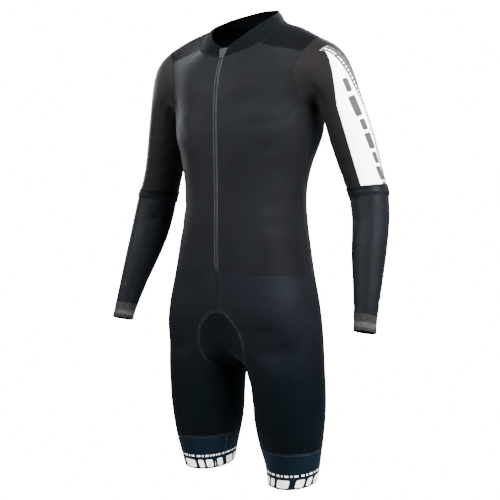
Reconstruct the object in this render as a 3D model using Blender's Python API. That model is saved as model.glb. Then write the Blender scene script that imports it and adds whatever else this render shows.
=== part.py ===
"""Long-sleeved one-piece cycling skinsuit, worn and filled out, built as thin sewn cloth walls.

A coarse cage of quads follows the body form. One smoothing step refines it, and each sewn
panel then takes its own faces and becomes a closed wall. Neighbouring walls meet at the seams.
"""
import math
from collections import namedtuple

import bpy
import numpy as np
from mathutils import Vector
from mathutils.bvhtree import BVHTree

MM = 0.001

# Cloth and seams, in millimetres
CLOTH = 1.6
COLLAR_CLOTH = 2.4
CUFF_CLOTH = 2.2
BAND_CLOTH = 2.0
SEAM_GAP = 0.3
PAD_EDGE_THICKNESS = 1.8
PAD_MIDDLE_THICKNESS = 8.0
PAD_RAMP = 38.0
LAP_LIFT = CLOTH + SEAM_GAP

# Front zip, its end tack and its fabric garage, in millimetres
ZIP_EDGE = 4.8
TACK_WIDTH = 6.0
TACK_HEIGHT = 4.6
TACK_Z = -491.0
GARAGE_TOP_WIDTH = 21.0
GARAGE_FOOT_WIDTH = 9.5
GARAGE_TOP_Z = -36.5
GARAGE_FOOT_Z = -58.0
GARAGE_CLOTH = 1.3

# Columns of a half ring: centre front is 0, the zip edge 1, front edge 3, side 5, back edge 7
FRONT, STRIP, FRONT_EDGE, SIDE, BACK_EDGE, BACK = 0, 1, 3, 5, 7, 9
RING_COLUMNS = 10

Row = namedtuple("Row", "name strip front_y front_z edge_x edge_y edge_z side_x side_y side_z "
                        "rear_x rear_y rear_z back_y back_z front_bulge back_bulge left_rise")

# Half sections of the trunk from the leg roots up to the collar's top, in millimetres
TRUNK = (
    Row("leg_root", 57, -84, -655, 149, -73, -664, 182, -3, -662, 138, 78, -662, 90, -656, 10, 16, 0),
    Row("hip", 44, -110, -577, 147, -85, -612, 180, 1, -612, 127, 86, -610, 122, -580, 4, 10, 0),
    Row("belly", 14, -111, -545, 137, -88, -557, 172, 1, -557, 120, 82, -557, 119, -552, 3, 7, 0),
    Row("waist_seam", ZIP_EDGE, -111, -499, 125, -88, -505, 160, 1, -503, 111, 80, -505, 113, -505, 3, 4, 0),
    Row("low_waist", ZIP_EDGE, -113, -430, 111, -87, -430, 147, 1, -430, 103, 76, -430, 104, -430, 3, 3, 0),
    Row("waist", ZIP_EDGE, -112, -350, 101, -82, -350, 139, -1, -350, 98, 71, -350, 97, -350, 3, 2, 0),
    Row("ribs", ZIP_EDGE, -114, -274, 109, -83, -272, 148, -1, -272, 110, 80, -272, 106, -272, 4, 3, 0),
    Row("chest", ZIP_EDGE, -116, -212, 129, -80, -205, 165, 0, -205, 136, 89, -205, 112, -205, 7, 6, 0),
    Row("armpit", ZIP_EDGE, -116, -165, 166, -42, -147, 171, 0, -153, 165, 46, -147, 115, -150, 12, 12, 0),
    Row("armhole_low", ZIP_EDGE, -114, -136, 157, -55, -112, 176, 0, -112, 155, 60, -112, 114, -112, 9, 9, 0),
    Row("armhole_high", ZIP_EDGE, -111, -111, 156, -56, -82, 178, 0, -80, 154, 61, -80, 110, -77, 8, 8, 0),
    Row("shoulder", ZIP_EDGE, -106, -90, 167, -42, -49, 189, 2, -21, 165, 46, -49, 104, -42, 8, 6, 0),
    Row("yoke_middle", ZIP_EDGE, -99, -72, 121, -56, -40, 138, 3, 7, 116, 58, -15, 92, -8, 6, 4, 0),
    Row("neck", ZIP_EDGE, -92, -55, 76, -66, -28, 91, -2, 19, 64, 58, 24, 75, 22, 6, 2, 0),
    Row("collar_middle", ZIP_EDGE, -86.5, -44, 65, -62, -13, 81, -6, 26, 60, 51, 38, 70, 41, 5, 2, 2),
    Row("collar_top", ZIP_EDGE, -80, -34, 53, -57, 1, 69, -10, 29, 54, 42, 51, 62, 60, 4, 2, 4),
)
ROW = {row.name: number for number, row in enumerate(TRUNK)}

# Where a ring turns round the armhole or the yoke, the way its edge line leads on beyond each edge
TURNS = {"armpit": (-9, -13, 35), "shoulder": (-9, -15, -31), "yoke_middle": (-8, -14, -28)}

# Outline of the seat pad panel on one side, from the front point under the crotch to the back point
PadPoint = namedtuple("PadPoint", "ring column x y z")
PAD_OUTLINE = (
    PadPoint("hip", 1, 43, -106, -608),
    PadPoint("leg_root", 1, 57, -99, -644),
    PadPoint("thigh_top", 1, 56, -89, -676),
    PadPoint("thigh_top", 0, 45, -74, -693),
    PadPoint("thigh_top", 12, 36, -40, -705),
    PadPoint("thigh_top", 11, 32, 2, -713),
    PadPoint("thigh_top", 10, 36, 40, -709),
    PadPoint("thigh_top", 9, 46, 74, -699),
    PadPoint("thigh_top", 8, 64, 98, -682),
    PadPoint("leg_root", 8, 70, 112, -650),
    PadPoint("hip", 8, 56, 126, -604),
)

# Crotch curve on the centre plane, from back to front, as ring columns 10, 11 and 12
CROTCH = ((10, 46, -686), (11, 0, -698), (12, -50, -684))

# Angles round a thigh for its thirteen columns: 0 faces forward and 90 outward
THIGH_ANGLES = (-50, -27, 3, 32, 61, 90, 119, 150, 188, 230, 250, 270, 290)

# Thigh rings: centre, half sizes, height, how far the front and the outside drop, lift of each side,
# and the share by which the ring is longer from its outer front to its inner back
Thigh = namedtuple("Thigh", "name x y width front back z front_drop outer_drop left_drop skew")
THIGH_LONG_WAY = 55
THIGHS = (
    Thigh("thigh_top", 105, -6, 80, 83, 92, -702, 0, 4, 0, 0.02),
    Thigh("thigh_upper", 107, 0, 81, 80, 84, -752, 0, 0, 1, 0.03),
    Thigh("thigh_middle", 108, 4.5, 77.5, 79, 78, -812, 2, 0, 3, 0.035),
    Thigh("band_seam", 109, 8, 69, 70, 69, -865, 7, 2, 5, 0.045),
    Thigh("band_middle", 111, 12, 61, 62, 61, -901, 9, 1, 6, 0.05),
    Thigh("hem", 110, 13, 55, 56, 55, -937, 10, 0, 7, 0.02),
)

# Sleeve rings from the shoulder to the wrist: centre, outward lean, half sizes, long-axis turn, rise
Sleeve = namedtuple("Sleeve", "name x y z lean outer front turn left_rise")
SLEEVES = (
    Sleeve("cap", 206, 8, -104, 63, 62, 51, 0, 0),
    Sleeve("upper_arm", 224, 17, -156, 33, 46, 47, 0, 0),
    Sleeve("biceps", 239, 27, -212, 18, 46, 46, 0, 0),
    Sleeve("arm_low", 255, 35, -272, 11, 44, 44, 0, 1),
    Sleeve("elbow_hem", 272, 37, -327, 6, 45, 40, 30, 2),
    Sleeve("elbow", 277, 36, -341, 6, 45, 39, 30, 2),
    Sleeve("forearm_top", 286, 29, -392, 6, 45, 37, 38, 3),
    Sleeve("forearm_middle", 293, 9, -454, 5, 40, 35, 38, 3),
    Sleeve("forearm_low", 303, -15, -520, 3, 32, 29, 30, 4),
    Sleeve("cuff_seam", 311, -37, -584, 0, 25, 23, 20, 5),
    Sleeve("cuff_end", 314.5, -46, -615, 0, 24.5, 22, 20, 5),
)
SLEEVE_COLUMNS = 14

# The sleeve's outer panel covers these columns
PANEL_SLEEVE_COLUMNS = (13, 0, 1, 2)

# Places round the front of each shoulder that are set one by one: ring, column and place
SHOULDER_POINTS = (
    ("yoke_middle", 4, 133, -31, -7),
    ("shoulder", 4, 186, -26, -23),
    ("cap", 2, 223, -31, -61),
    ("cap", 3, 210, -41, -83),
)

SMOOTHING_ROUNDS = 8
SIDES = (("left", 1), ("right", -1))


class Cage:
    """Coarse quads with a panel name each, and points found by ring, column and side."""

    def __init__(self):
        self.points = []
        self.index = {}
        self.quads = []
        self.panels = []
        self.creases = []

    def put(self, ring, column, side, place):
        x, y, z = place
        key = (ring, column, 0 if abs(x) < 1e-9 else side)
        if key not in self.index:
            self.index[key] = len(self.points)
            self.points.append((x * side, y, z))
        else:
            self.points[self.index[key]] = (x * side, y, z)

    def at(self, ring, column, side):
        middle = (ring, column, 0)
        return self.index[middle] if middle in self.index else self.index[(ring, column, side)]

    def crease(self, stations, side):
        found = [self.at(ring, column, side) for ring, column in stations]
        self.creases += [(min(pair), max(pair)) for pair in zip(found, found[1:])]

    def quad(self, corners, side, panel):
        self.quads.append(corners if side > 0 else corners[::-1])
        self.panels.append(panel)


def between(before, start, end, after):
    """Middle of a smooth curve through four points that follow each other."""
    return (-before + 9 * start + 9 * end - after) / 16


def trunk_ring(row, side):
    """Ten points of a half section from its five key points."""
    front = np.array((0, row.front_y, row.front_z), float)
    edge = np.array((row.edge_x, row.edge_y, row.edge_z), float)
    hip = np.array((row.side_x, row.side_y, row.side_z), float)
    rear = np.array((row.rear_x, row.rear_y, row.rear_z), float)
    back = np.array((0, row.back_y, row.back_z), float)
    mirror = np.array((-1, 1, 1))
    second = between(edge * mirror, front, edge, hip) - (0, row.front_bulge, 0)
    beyond_edge, beyond_rear = front, back
    if row.name in TURNS:
        turn = np.array(TURNS[row.name], float)
        beyond_edge = edge + turn
        beyond_rear = rear + turn * (1, -1, 1)
    fourth = between(beyond_edge, edge, hip, rear)
    sixth = between(edge, hip, rear, beyond_rear)
    eighth = between(hip, rear, back, rear * mirror) + (0, row.back_bulge, 0)
    share = row.strip / second[0]
    strip = front + (second - front) * share ** 2
    strip[0] = row.strip
    ring = [front, strip, second, edge, fourth, hip, sixth, rear, eighth, back]
    for place in ring:
        place[2] += row.left_rise * side * place[0] / row.side_x
    return ring


def thigh_ring(ring, side):
    """Thirteen points round one thigh."""
    points = []
    for angle in THIGH_ANGLES:
        forward = math.cos(math.radians(angle))
        outward = math.sin(math.radians(angle))
        depth = ring.front if forward > 0 else ring.back
        reach = 1 + ring.skew * math.cos(2 * math.radians(angle - THIGH_LONG_WAY))
        height = ring.z - ring.front_drop * forward - ring.outer_drop * outward - ring.left_drop * side
        points.append((ring.x + ring.width * outward * reach, ring.y - depth * forward * reach, height))
    return points


def sleeve_ring(ring, tangent, side):
    """Points round the arm, from the outside to the front, the inside and the back."""
    lean = math.radians(ring.lean)
    outward = Vector((math.cos(lean), 0, math.sin(lean)))
    forward = outward.cross(tangent).normalized()
    if forward.y > 0:
        forward.negate()
    points = []
    for column in range(SLEEVE_COLUMNS):
        angle = 2 * math.pi * column / SLEEVE_COLUMNS
        turned = angle - math.radians(ring.turn)
        radius = ring.outer * ring.front / math.hypot(ring.front * math.cos(turned),
                                                      ring.outer * math.sin(turned))
        place = Vector((ring.x, ring.y, ring.z + ring.left_rise * side))
        place += outward * (radius * math.cos(angle)) + forward * (radius * math.sin(angle))
        points.append(tuple(place))
    return points


def trunk_panel(row, column, side_name):
    """Name of the sewn panel that a trunk face belongs to, or None in the armhole."""
    low = TRUNK[row].name
    if low == "leg_root" and column in (0, 8):
        return "seat_pad"
    if row < ROW["waist_seam"]:
        return "shorts_" + side_name
    if column == 0:
        return "zip_strip"
    if row >= ROW["neck"]:
        return "collar"
    if row >= ROW["shoulder"] and FRONT_EDGE <= column < BACK_EDGE:
        return "yoke_" + side_name
    if row >= ROW["armpit"] and FRONT_EDGE <= column < BACK_EDGE:
        return None
    return "front_" + side_name if column < SIDE else "back"


def thigh_panel(ring, column, side_name):
    """Name of the sewn panel that a thigh face belongs to."""
    if ring == 0 and column in (0, 8, 9, 10, 11, 12):
        return "seat_pad"
    if THIGHS[ring].name in ("band_middle", "hem"):
        return "hem_band_" + side_name
    return "shorts_" + side_name


def sleeve_panel(ring, column, side_name):
    """Name of the sewn panel that a sleeve face belongs to."""
    name = SLEEVES[ring].name
    if name == "cuff_end":
        return "cuff_" + side_name
    if ring > [s.name for s in SLEEVES].index("elbow"):
        return "forearm_" + side_name
    if name == "elbow":
        return "lap_" + side_name
    if side_name == "left" and ring > 0 and column in PANEL_SLEEVE_COLUMNS:
        return "sleeve_panel_left"
    return "sleeve_" + side_name


def armhole_loop(cage, side):
    """Cage points round the armhole, from the shoulder to the front, the armpit and the back."""
    stations = [("shoulder", column) for column in (5, 4, 3)]
    stations += [("armhole_high", 3), ("armhole_low", 3)]
    stations += [("armpit", column) for column in (3, 4, 5, 6, 7)]
    stations += [("armhole_low", 7), ("armhole_high", 7)]
    stations += [("shoulder", column) for column in (7, 6)]
    return [cage.at(ring, column, side) for ring, column in stations]


def build_cage():
    cage = Cage()
    open_rows = ("armhole_low", "armhole_high")
    for side_name, side in SIDES:
        for row in TRUNK:
            for column, place in enumerate(trunk_ring(row, side)):
                if row.name in open_rows and FRONT_EDGE < column < BACK_EDGE:
                    continue
                cage.put(row.name, column, side, place)
        for column, y, z in CROTCH:
            cage.put("leg_root", column, side, (0, y, z))
        for ring in THIGHS:
            for column, place in enumerate(thigh_ring(ring, side)):
                cage.put(ring.name, column, side, place)
        for mark in PAD_OUTLINE:
            cage.put(mark.ring, mark.column, side, (mark.x, mark.y, mark.z))
        for number, row in enumerate(TRUNK[:-1]):
            for column in range(RING_COLUMNS - 1):
                panel = trunk_panel(number, column, side_name)
                if panel is None:
                    continue
                upper = TRUNK[number + 1].name
                corners = (cage.at(row.name, column, side), cage.at(row.name, column + 1, side),
                           cage.at(upper, column + 1, side), cage.at(upper, column, side))
                cage.quad(corners, side, panel)
        rings = ["leg_root"] + [ring.name for ring in THIGHS]
        count = len(THIGH_ANGLES)
        for number, ring in enumerate(THIGHS):
            for column in range(count):
                after = (column + 1) % count
                upper, lower = rings[number], rings[number + 1]
                corners = (cage.at(lower, column, side), cage.at(lower, after, side),
                           cage.at(upper, after, side), cage.at(upper, column, side))
                cage.quad(corners, side, thigh_panel(number, column, side_name))
        cage.crease([(row.name, STRIP) for row in TRUNK[ROW["waist_seam"]:]], side)
        outline = [("hip", FRONT)] + [(mark.ring, mark.column) for mark in PAD_OUTLINE] + [("hip", BACK)]
        cage.crease(outline, side)
        add_sleeve(cage, side_name, side)
    return cage


def add_sleeve(cage, side_name, side):
    centres = [Vector((ring.x, ring.y, ring.z)) for ring in SLEEVES]
    for number, ring in enumerate(SLEEVES):
        before = centres[max(number - 1, 0)]
        after = centres[min(number + 1, len(SLEEVES) - 1)]
        tangent = (after - before).normalized()
        for column, place in enumerate(sleeve_ring(ring, tangent, side)):
            cage.put(ring.name, column, side, place)
    for ring_name, column, x, y, z in SHOULDER_POINTS:
        cage.put(ring_name, column, side, (x, y, z))
    upper = armhole_loop(cage, side)
    for number, ring in enumerate(SLEEVES):
        lower = [cage.at(ring.name, column, side) for column in range(SLEEVE_COLUMNS)]
        for column in range(SLEEVE_COLUMNS):
            after = (column + 1) % SLEEVE_COLUMNS
            corners = (upper[column], upper[after], lower[after], lower[column])
            cage.quad(corners, side, sleeve_panel(number, column, side_name))
        upper = lower


def smoothing_step(points, quads, creases):
    """One Catmull-Clark step on quads. Old points come first, and crease lines stay sharp."""
    size = len(points)
    corners = points[quads]
    centres = corners.mean(axis=1)
    edges = np.stack([quads, np.roll(quads, -1, axis=1)], axis=2)
    pairs, numbers = np.unique(np.sort(edges.reshape(-1, 2), axis=1), axis=0, return_inverse=True)
    numbers = numbers.reshape(quads.shape)
    uses = np.bincount(numbers.ravel(), minlength=len(pairs))
    middles = points[pairs].mean(axis=1)
    spread = np.zeros((len(pairs), 3))
    np.add.at(spread, numbers.ravel(), np.repeat(centres, 4, axis=0))
    sharp = np.isin(pairs[:, 0] * size + pairs[:, 1], creases[:, 0] * size + creases[:, 1])
    sharp |= uses == 1
    edge_points = np.where(sharp[:, None], middles, (middles * 2 + spread) / 4)

    valence = np.bincount(quads.ravel(), minlength=size).astype(float)[:, None]
    centre_sum = np.zeros((size, 3))
    np.add.at(centre_sum, quads.ravel(), np.repeat(centres, 4, axis=0))
    middle_sum = np.zeros((size, 3))
    np.add.at(middle_sum, pairs.ravel(), np.repeat(middles, 2, axis=0))
    edges_at = np.bincount(pairs.ravel(), minlength=size).astype(float)[:, None]
    moved = (centre_sum / valence + 2 * middle_sum / edges_at + (valence - 3) * points) / valence
    line_sum = np.zeros((size, 3))
    np.add.at(line_sum, pairs[sharp].ravel(), np.repeat(middles[sharp], 2, axis=0))
    lines_at = np.bincount(pairs[sharp].ravel(), minlength=size)
    on_line = lines_at == 2
    moved[on_line] = line_sum[on_line] / 4 + points[on_line] / 2
    corner = (lines_at == 1) | (lines_at > 2)
    moved[corner] = points[corner]

    all_points = np.vstack([moved, edge_points, centres])
    edge_at = numbers + size
    centre_at = np.arange(len(quads)) + size + len(pairs)
    parts = []
    for turn in range(4):
        parts.append(np.stack([quads[:, turn], edge_at[:, turn], centre_at, edge_at[:, turn - 1]], axis=1))
    fine = np.stack(parts, axis=1).reshape(-1, 4)
    halves = np.nonzero(sharp)[0]
    fine_creases = np.vstack([np.stack([pairs[halves, end], halves + size], axis=1) for end in (0, 1)])
    return all_points, fine, fine_creases


def settle(points, quads, creases):
    """Move the cage so that its smoothed form passes through the given points."""
    cage = points.copy()
    for _ in range(SMOOTHING_ROUNDS):
        smoothed = smoothing_step(cage, quads, creases)[0][:len(points)]
        cage += points - smoothed
    return cage


def vertex_normals(points, quads):
    corners = points[quads]
    faces = np.cross(corners[:, 2] - corners[:, 0], corners[:, 3] - corners[:, 1])
    normals = np.zeros_like(points)
    np.add.at(normals, quads.ravel(), np.repeat(faces, 4, axis=0))
    return normals / np.linalg.norm(normals, axis=1, keepdims=True)


def rim_edges(quads):
    """Directed edges that only one of these faces uses, with that face's number."""
    found = {}
    for number, quad in enumerate(quads):
        for corner in range(4):
            a, b = int(quad[corner]), int(quad[(corner + 1) % 4])
            if (b, a) in found:
                del found[(b, a)]
            else:
                found[(a, b)] = number
    return found


def pull_in(points, quads, normals, rim, free_edges):
    """Shift of each rim point along the cloth, half a seam gap away from its neighbour."""
    inward = {}
    for (a, b), number in rim.items():
        along = points[b] - points[a]
        side = np.cross(normals[a] + normals[b], along)
        side /= np.linalg.norm(side)
        if side.dot(points[quads[number]].mean(axis=0) - points[a]) < 0:
            side = -side
        amount = 0.0 if (min(a, b), max(a, b)) in free_edges else SEAM_GAP / 2
        inward.setdefault(a, []).append((side, amount))
        inward.setdefault(b, []).append((side, amount))
    shift = {}
    for point, found in inward.items():
        (first, one), (second, two) = found[0], found[1]
        shared = first.dot(second)
        if abs(shared) > 0.97:
            shift[point] = (first + second) / 2 * max(one, two)
            continue
        scale = 1 - shared * shared
        shift[point] = first * ((one - shared * two) / scale) + second * ((two - shared * one) / scale)
    return shift


def panel_wall(form, faces, thickness, lift):
    """Closed wall over these faces: outer side, inner side and a rim between them."""
    quads = form.quads[faces]
    rim = rim_edges(quads)
    shift = pull_in(form.points, quads, form.normals, rim, form.free_edges)
    used = sorted(set(int(corner) for corner in quads.ravel()))
    place = {point: number for number, point in enumerate(used)}
    count = len(used)
    outer, inner = [], []
    for point in used:
        start = form.points[point] + shift.get(point, 0)
        rise = lift(point) if callable(lift) else lift
        depth = thickness(point) if callable(thickness) else thickness
        outer.append(start + form.normals[point] * rise)
        inner.append(start + form.normals[point] * (rise - depth))
    polygons = [[place[int(corner)] for corner in quad] for quad in quads]
    polygons += [[place[int(corner)] + count for corner in quad[::-1]] for quad in quads]
    for a, b in rim:
        polygons.append([place[b], place[a], place[a] + count, place[b] + count])
    return outer + inner, polygons


Form = namedtuple("Form", "points quads panels normals free_edges")


def smooth_form(levels):
    """Smoothed body form with a panel name for each face."""
    cage = build_cage()
    quads = np.array(cage.quads)
    creases = np.array(cage.creases)
    points = settle(np.array(cage.points, float), quads, creases)
    panels = list(cage.panels)
    for _ in range(levels):
        points, quads, creases = smoothing_step(points, quads, creases)
        panels = [panel for panel in panels for _ in range(4)]
    free = set((min(edge), max(edge)) for edge in rim_edges(quads))
    return Form(points, quads, np.array(panels), vertex_normals(points, quads), free)


def face_numbers(form, names):
    return np.nonzero(np.isin(form.panels, names))[0]


def pad_thickness(form, faces):
    """The pad thickens from its sewn edge towards its middle."""
    rim = sorted(set(point for edge in rim_edges(form.quads[faces]) for point in edge))
    edge_points = form.points[rim]

    def thickness(point):
        distance = np.min(np.linalg.norm(edge_points - form.points[point], axis=1))
        share = min(distance / PAD_RAMP, 1.0)
        ease = share * share * (3 - 2 * share)
        return PAD_EDGE_THICKNESS + (PAD_MIDDLE_THICKNESS - PAD_EDGE_THICKNESS) * ease

    return thickness


def lap_lift(form, side_name):
    """The forearm's turned hem lies over the upper sleeve and comes down to the arm below it."""
    lapped = set(form.quads[face_numbers(form, ["lap_" + side_name])].ravel().tolist())

    def lift(point):
        return LAP_LIFT if point in lapped else 0.0

    return lift


def surface_patch(tree, outline, thickness):
    """Thin patch that follows the cloth in front of it: rows of (z, half width), top first."""
    steps = 5
    outer, inner = [], []
    for z, half in outline:
        for step in range(steps):
            x = half * (2 * step / (steps - 1) - 1)
            start = Vector((x, -400, z))
            hit, normal, _, _ = tree.ray_cast(start, Vector((0, 1, 0)))
            if normal.y > 0:
                normal = -normal
            inner.append(np.array(hit + normal * SEAM_GAP))
            outer.append(np.array(hit + normal * (SEAM_GAP + thickness)))
    rows = len(outline)
    count = rows * steps
    polygons = []
    for row in range(rows - 1):
        for step in range(steps - 1):
            a = row * steps + step
            quad = [a, a + steps, a + steps + 1, a + 1]
            polygons.append(quad)
            polygons.append([corner + count for corner in quad[::-1]])
    loop = [step for step in range(steps)]
    loop += [row * steps + steps - 1 for row in range(1, rows)]
    loop += [(rows - 1) * steps + step for step in range(steps - 2, -1, -1)]
    loop += [row * steps for row in range(rows - 2, 0, -1)]
    for a, b in zip(loop, loop[1:] + loop[:1]):
        polygons.append([a, b, b + count, a + count])
    return outer + inner, polygons


def material(name, colour, roughness):
    made = bpy.data.materials.new(name)
    made.use_nodes = True
    shader = made.node_tree.nodes["Principled BSDF"]
    shader.inputs["Base Color"].default_value = (*colour, 1)
    shader.inputs["Roughness"].default_value = roughness
    made.diffuse_color = (*colour, 1)
    return made


def add_object(name, points, polygons, colour, roughness):
    mesh = bpy.data.meshes.new(name)
    mesh.from_pydata([tuple(float(value) * MM for value in point) for point in points], [], polygons)
    mesh.validate()
    mesh.polygons.foreach_set("use_smooth", [True] * len(mesh.polygons))
    mesh.materials.append(material(name + "_cloth", colour, roughness))
    made = bpy.data.objects.new(name, mesh)
    bpy.context.scene.collection.objects.link(made)
    return made


# Sewn panels: name, the form's faces it takes, cloth thickness, colour and roughness
Panel = namedtuple("Panel", "name faces thickness colour roughness")
BLACK = (0.014, 0.018, 0.022)
YOKE_BLACK = (0.019, 0.022, 0.027)
SLEEVE_CHARCOAL = (0.042, 0.036, 0.041)
FOREARM_BLACK = (0.020, 0.030, 0.038)
PAD_BLACK = (0.011, 0.013, 0.016)
BAND_BLACK = (0.013, 0.019, 0.030)
MELANGE_GREY = (0.16, 0.16, 0.17)
WHITE = (0.85, 0.85, 0.84)
ZIP_GREY = (0.075, 0.078, 0.082)
GARAGE_GREY = (0.36, 0.36, 0.40)
PANELS = (
    Panel("front_left", ["front_left"], CLOTH, BLACK, 0.55),
    Panel("front_right", ["front_right"], CLOTH, BLACK, 0.55),
    Panel("back", ["back"], CLOTH, BLACK, 0.55),
    Panel("yoke_left", ["yoke_left"], CLOTH, YOKE_BLACK, 0.5),
    Panel("yoke_right", ["yoke_right"], CLOTH, YOKE_BLACK, 0.5),
    Panel("collar", ["collar"], COLLAR_CLOTH, BLACK, 0.6),
    Panel("zip_strip", ["zip_strip"], CLOTH, ZIP_GREY, 0.5),
    Panel("sleeve_left", ["sleeve_left", "lap_left"], CLOTH, SLEEVE_CHARCOAL, 0.5),
    Panel("sleeve_panel_left", ["sleeve_panel_left"], CLOTH, WHITE, 0.6),
    Panel("sleeve_right", ["sleeve_right", "lap_right"], CLOTH, SLEEVE_CHARCOAL, 0.5),
    Panel("cuff_left", ["cuff_left"], CUFF_CLOTH, MELANGE_GREY, 0.8),
    Panel("cuff_right", ["cuff_right"], CUFF_CLOTH, MELANGE_GREY, 0.8),
    Panel("shorts_left", ["shorts_left"], CLOTH, BLACK, 0.55),
    Panel("shorts_right", ["shorts_right"], CLOTH, BLACK, 0.55),
    Panel("hem_band_left", ["hem_band_left"], BAND_CLOTH, BAND_BLACK, 0.6),
    Panel("hem_band_right", ["hem_band_right"], BAND_CLOTH, BAND_BLACK, 0.6),
)


def clear_scene():
    for found in list(bpy.context.scene.objects):
        bpy.data.objects.remove(found, do_unlink=True)


def main():
    clear_scene()
    form = smooth_form(1)
    for panel in PANELS:
        faces = face_numbers(form, panel.faces)
        add_object(panel.name, *panel_wall(form, faces, panel.thickness, 0.0), panel.colour, panel.roughness)
    for side_name, _ in SIDES:
        faces = face_numbers(form, ["forearm_" + side_name, "lap_" + side_name])
        forearm = panel_wall(form, faces, CLOTH, lap_lift(form, side_name))
        add_object("forearm_" + side_name, *forearm, FOREARM_BLACK, 0.5)
    pad_faces = face_numbers(form, ["seat_pad"])
    pad = panel_wall(form, pad_faces, pad_thickness(form, pad_faces), 0.0)
    add_object("seat_pad", *pad, PAD_BLACK, 0.7)
    tree = BVHTree.FromPolygons([Vector(point) for point in form.points], form.quads.tolist())
    middle_z = (GARAGE_TOP_Z + GARAGE_FOOT_Z) / 2
    middle_width = (GARAGE_TOP_WIDTH + GARAGE_FOOT_WIDTH) / 2
    garage = ((GARAGE_TOP_Z, GARAGE_TOP_WIDTH / 2), (middle_z, middle_width / 2),
              (GARAGE_FOOT_Z, GARAGE_FOOT_WIDTH / 2))
    add_object("zip_garage", *surface_patch(tree, garage, GARAGE_CLOTH), GARAGE_GREY, 0.7)
    tack = ((TACK_Z + TACK_HEIGHT / 2, TACK_WIDTH / 2), (TACK_Z - TACK_HEIGHT / 2, TACK_WIDTH / 2))
    add_object("zip_end_tack", *surface_patch(tree, tack, GARAGE_CLOTH), BLACK, 0.8)


main()
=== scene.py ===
"""Looks of a long-sleeved one-piece cycling skinsuit: thin sewn shells, thread, zip, prints and light."""

import math
import random
from collections import namedtuple

import bpy
import numpy as np
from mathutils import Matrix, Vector, noise
from mathutils.bvhtree import BVHTree


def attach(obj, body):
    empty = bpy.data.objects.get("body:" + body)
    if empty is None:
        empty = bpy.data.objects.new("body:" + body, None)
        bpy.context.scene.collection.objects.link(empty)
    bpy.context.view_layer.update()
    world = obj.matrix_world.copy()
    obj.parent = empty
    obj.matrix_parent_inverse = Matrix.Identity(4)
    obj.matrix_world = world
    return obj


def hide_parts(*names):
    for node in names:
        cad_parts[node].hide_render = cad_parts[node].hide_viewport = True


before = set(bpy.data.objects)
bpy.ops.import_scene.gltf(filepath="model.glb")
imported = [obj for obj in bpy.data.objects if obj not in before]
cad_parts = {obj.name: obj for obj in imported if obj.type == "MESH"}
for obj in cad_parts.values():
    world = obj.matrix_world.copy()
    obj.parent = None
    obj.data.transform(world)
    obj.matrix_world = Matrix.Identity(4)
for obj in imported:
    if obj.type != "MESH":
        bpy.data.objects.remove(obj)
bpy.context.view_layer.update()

MM = 0.001

# Cloth and seams, in millimetres, as in the part's source
CLOTH = 1.6
COLLAR_CLOTH = 2.4
CUFF_CLOTH = 2.2
BAND_CLOTH = 2.0
SEAM_GAP = 0.3
# The shown panels meet at their seams with this slight overlap, so that no light comes through
SEAM_LAP = 0.05
PAD_EDGE_THICKNESS = 1.8
PAD_MIDDLE_THICKNESS = 8.0
PAD_RAMP = 38.0
LAP_LIFT = CLOTH + SEAM_GAP

# Front zip, its end tack and its fabric garage, in millimetres, as in the part's source
ZIP_EDGE = 4.8
TACK_WIDTH = 6.0
TACK_HEIGHT = 4.6
TACK_Z = -491.0
TACK_THREADS = 8
TACK_THREAD = 0.9
TACK_LIFT = 0.9
GARAGE_TOP_WIDTH = 21.0
GARAGE_FOOT_WIDTH = 9.5
GARAGE_TOP_Z = -36.5
GARAGE_FOOT_Z = -58.0
GARAGE_CLOTH = 1.3

# Columns of a half ring: centre front is 0, the zip edge 1, front edge 3, side 5, back edge 7
FRONT, STRIP, FRONT_EDGE, SIDE, BACK_EDGE, BACK = 0, 1, 3, 5, 7, 9
RING_COLUMNS = 10

Row = namedtuple("Row", "name strip front_y front_z edge_x edge_y edge_z side_x side_y side_z "
                        "rear_x rear_y rear_z back_y back_z front_bulge back_bulge left_rise")

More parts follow.
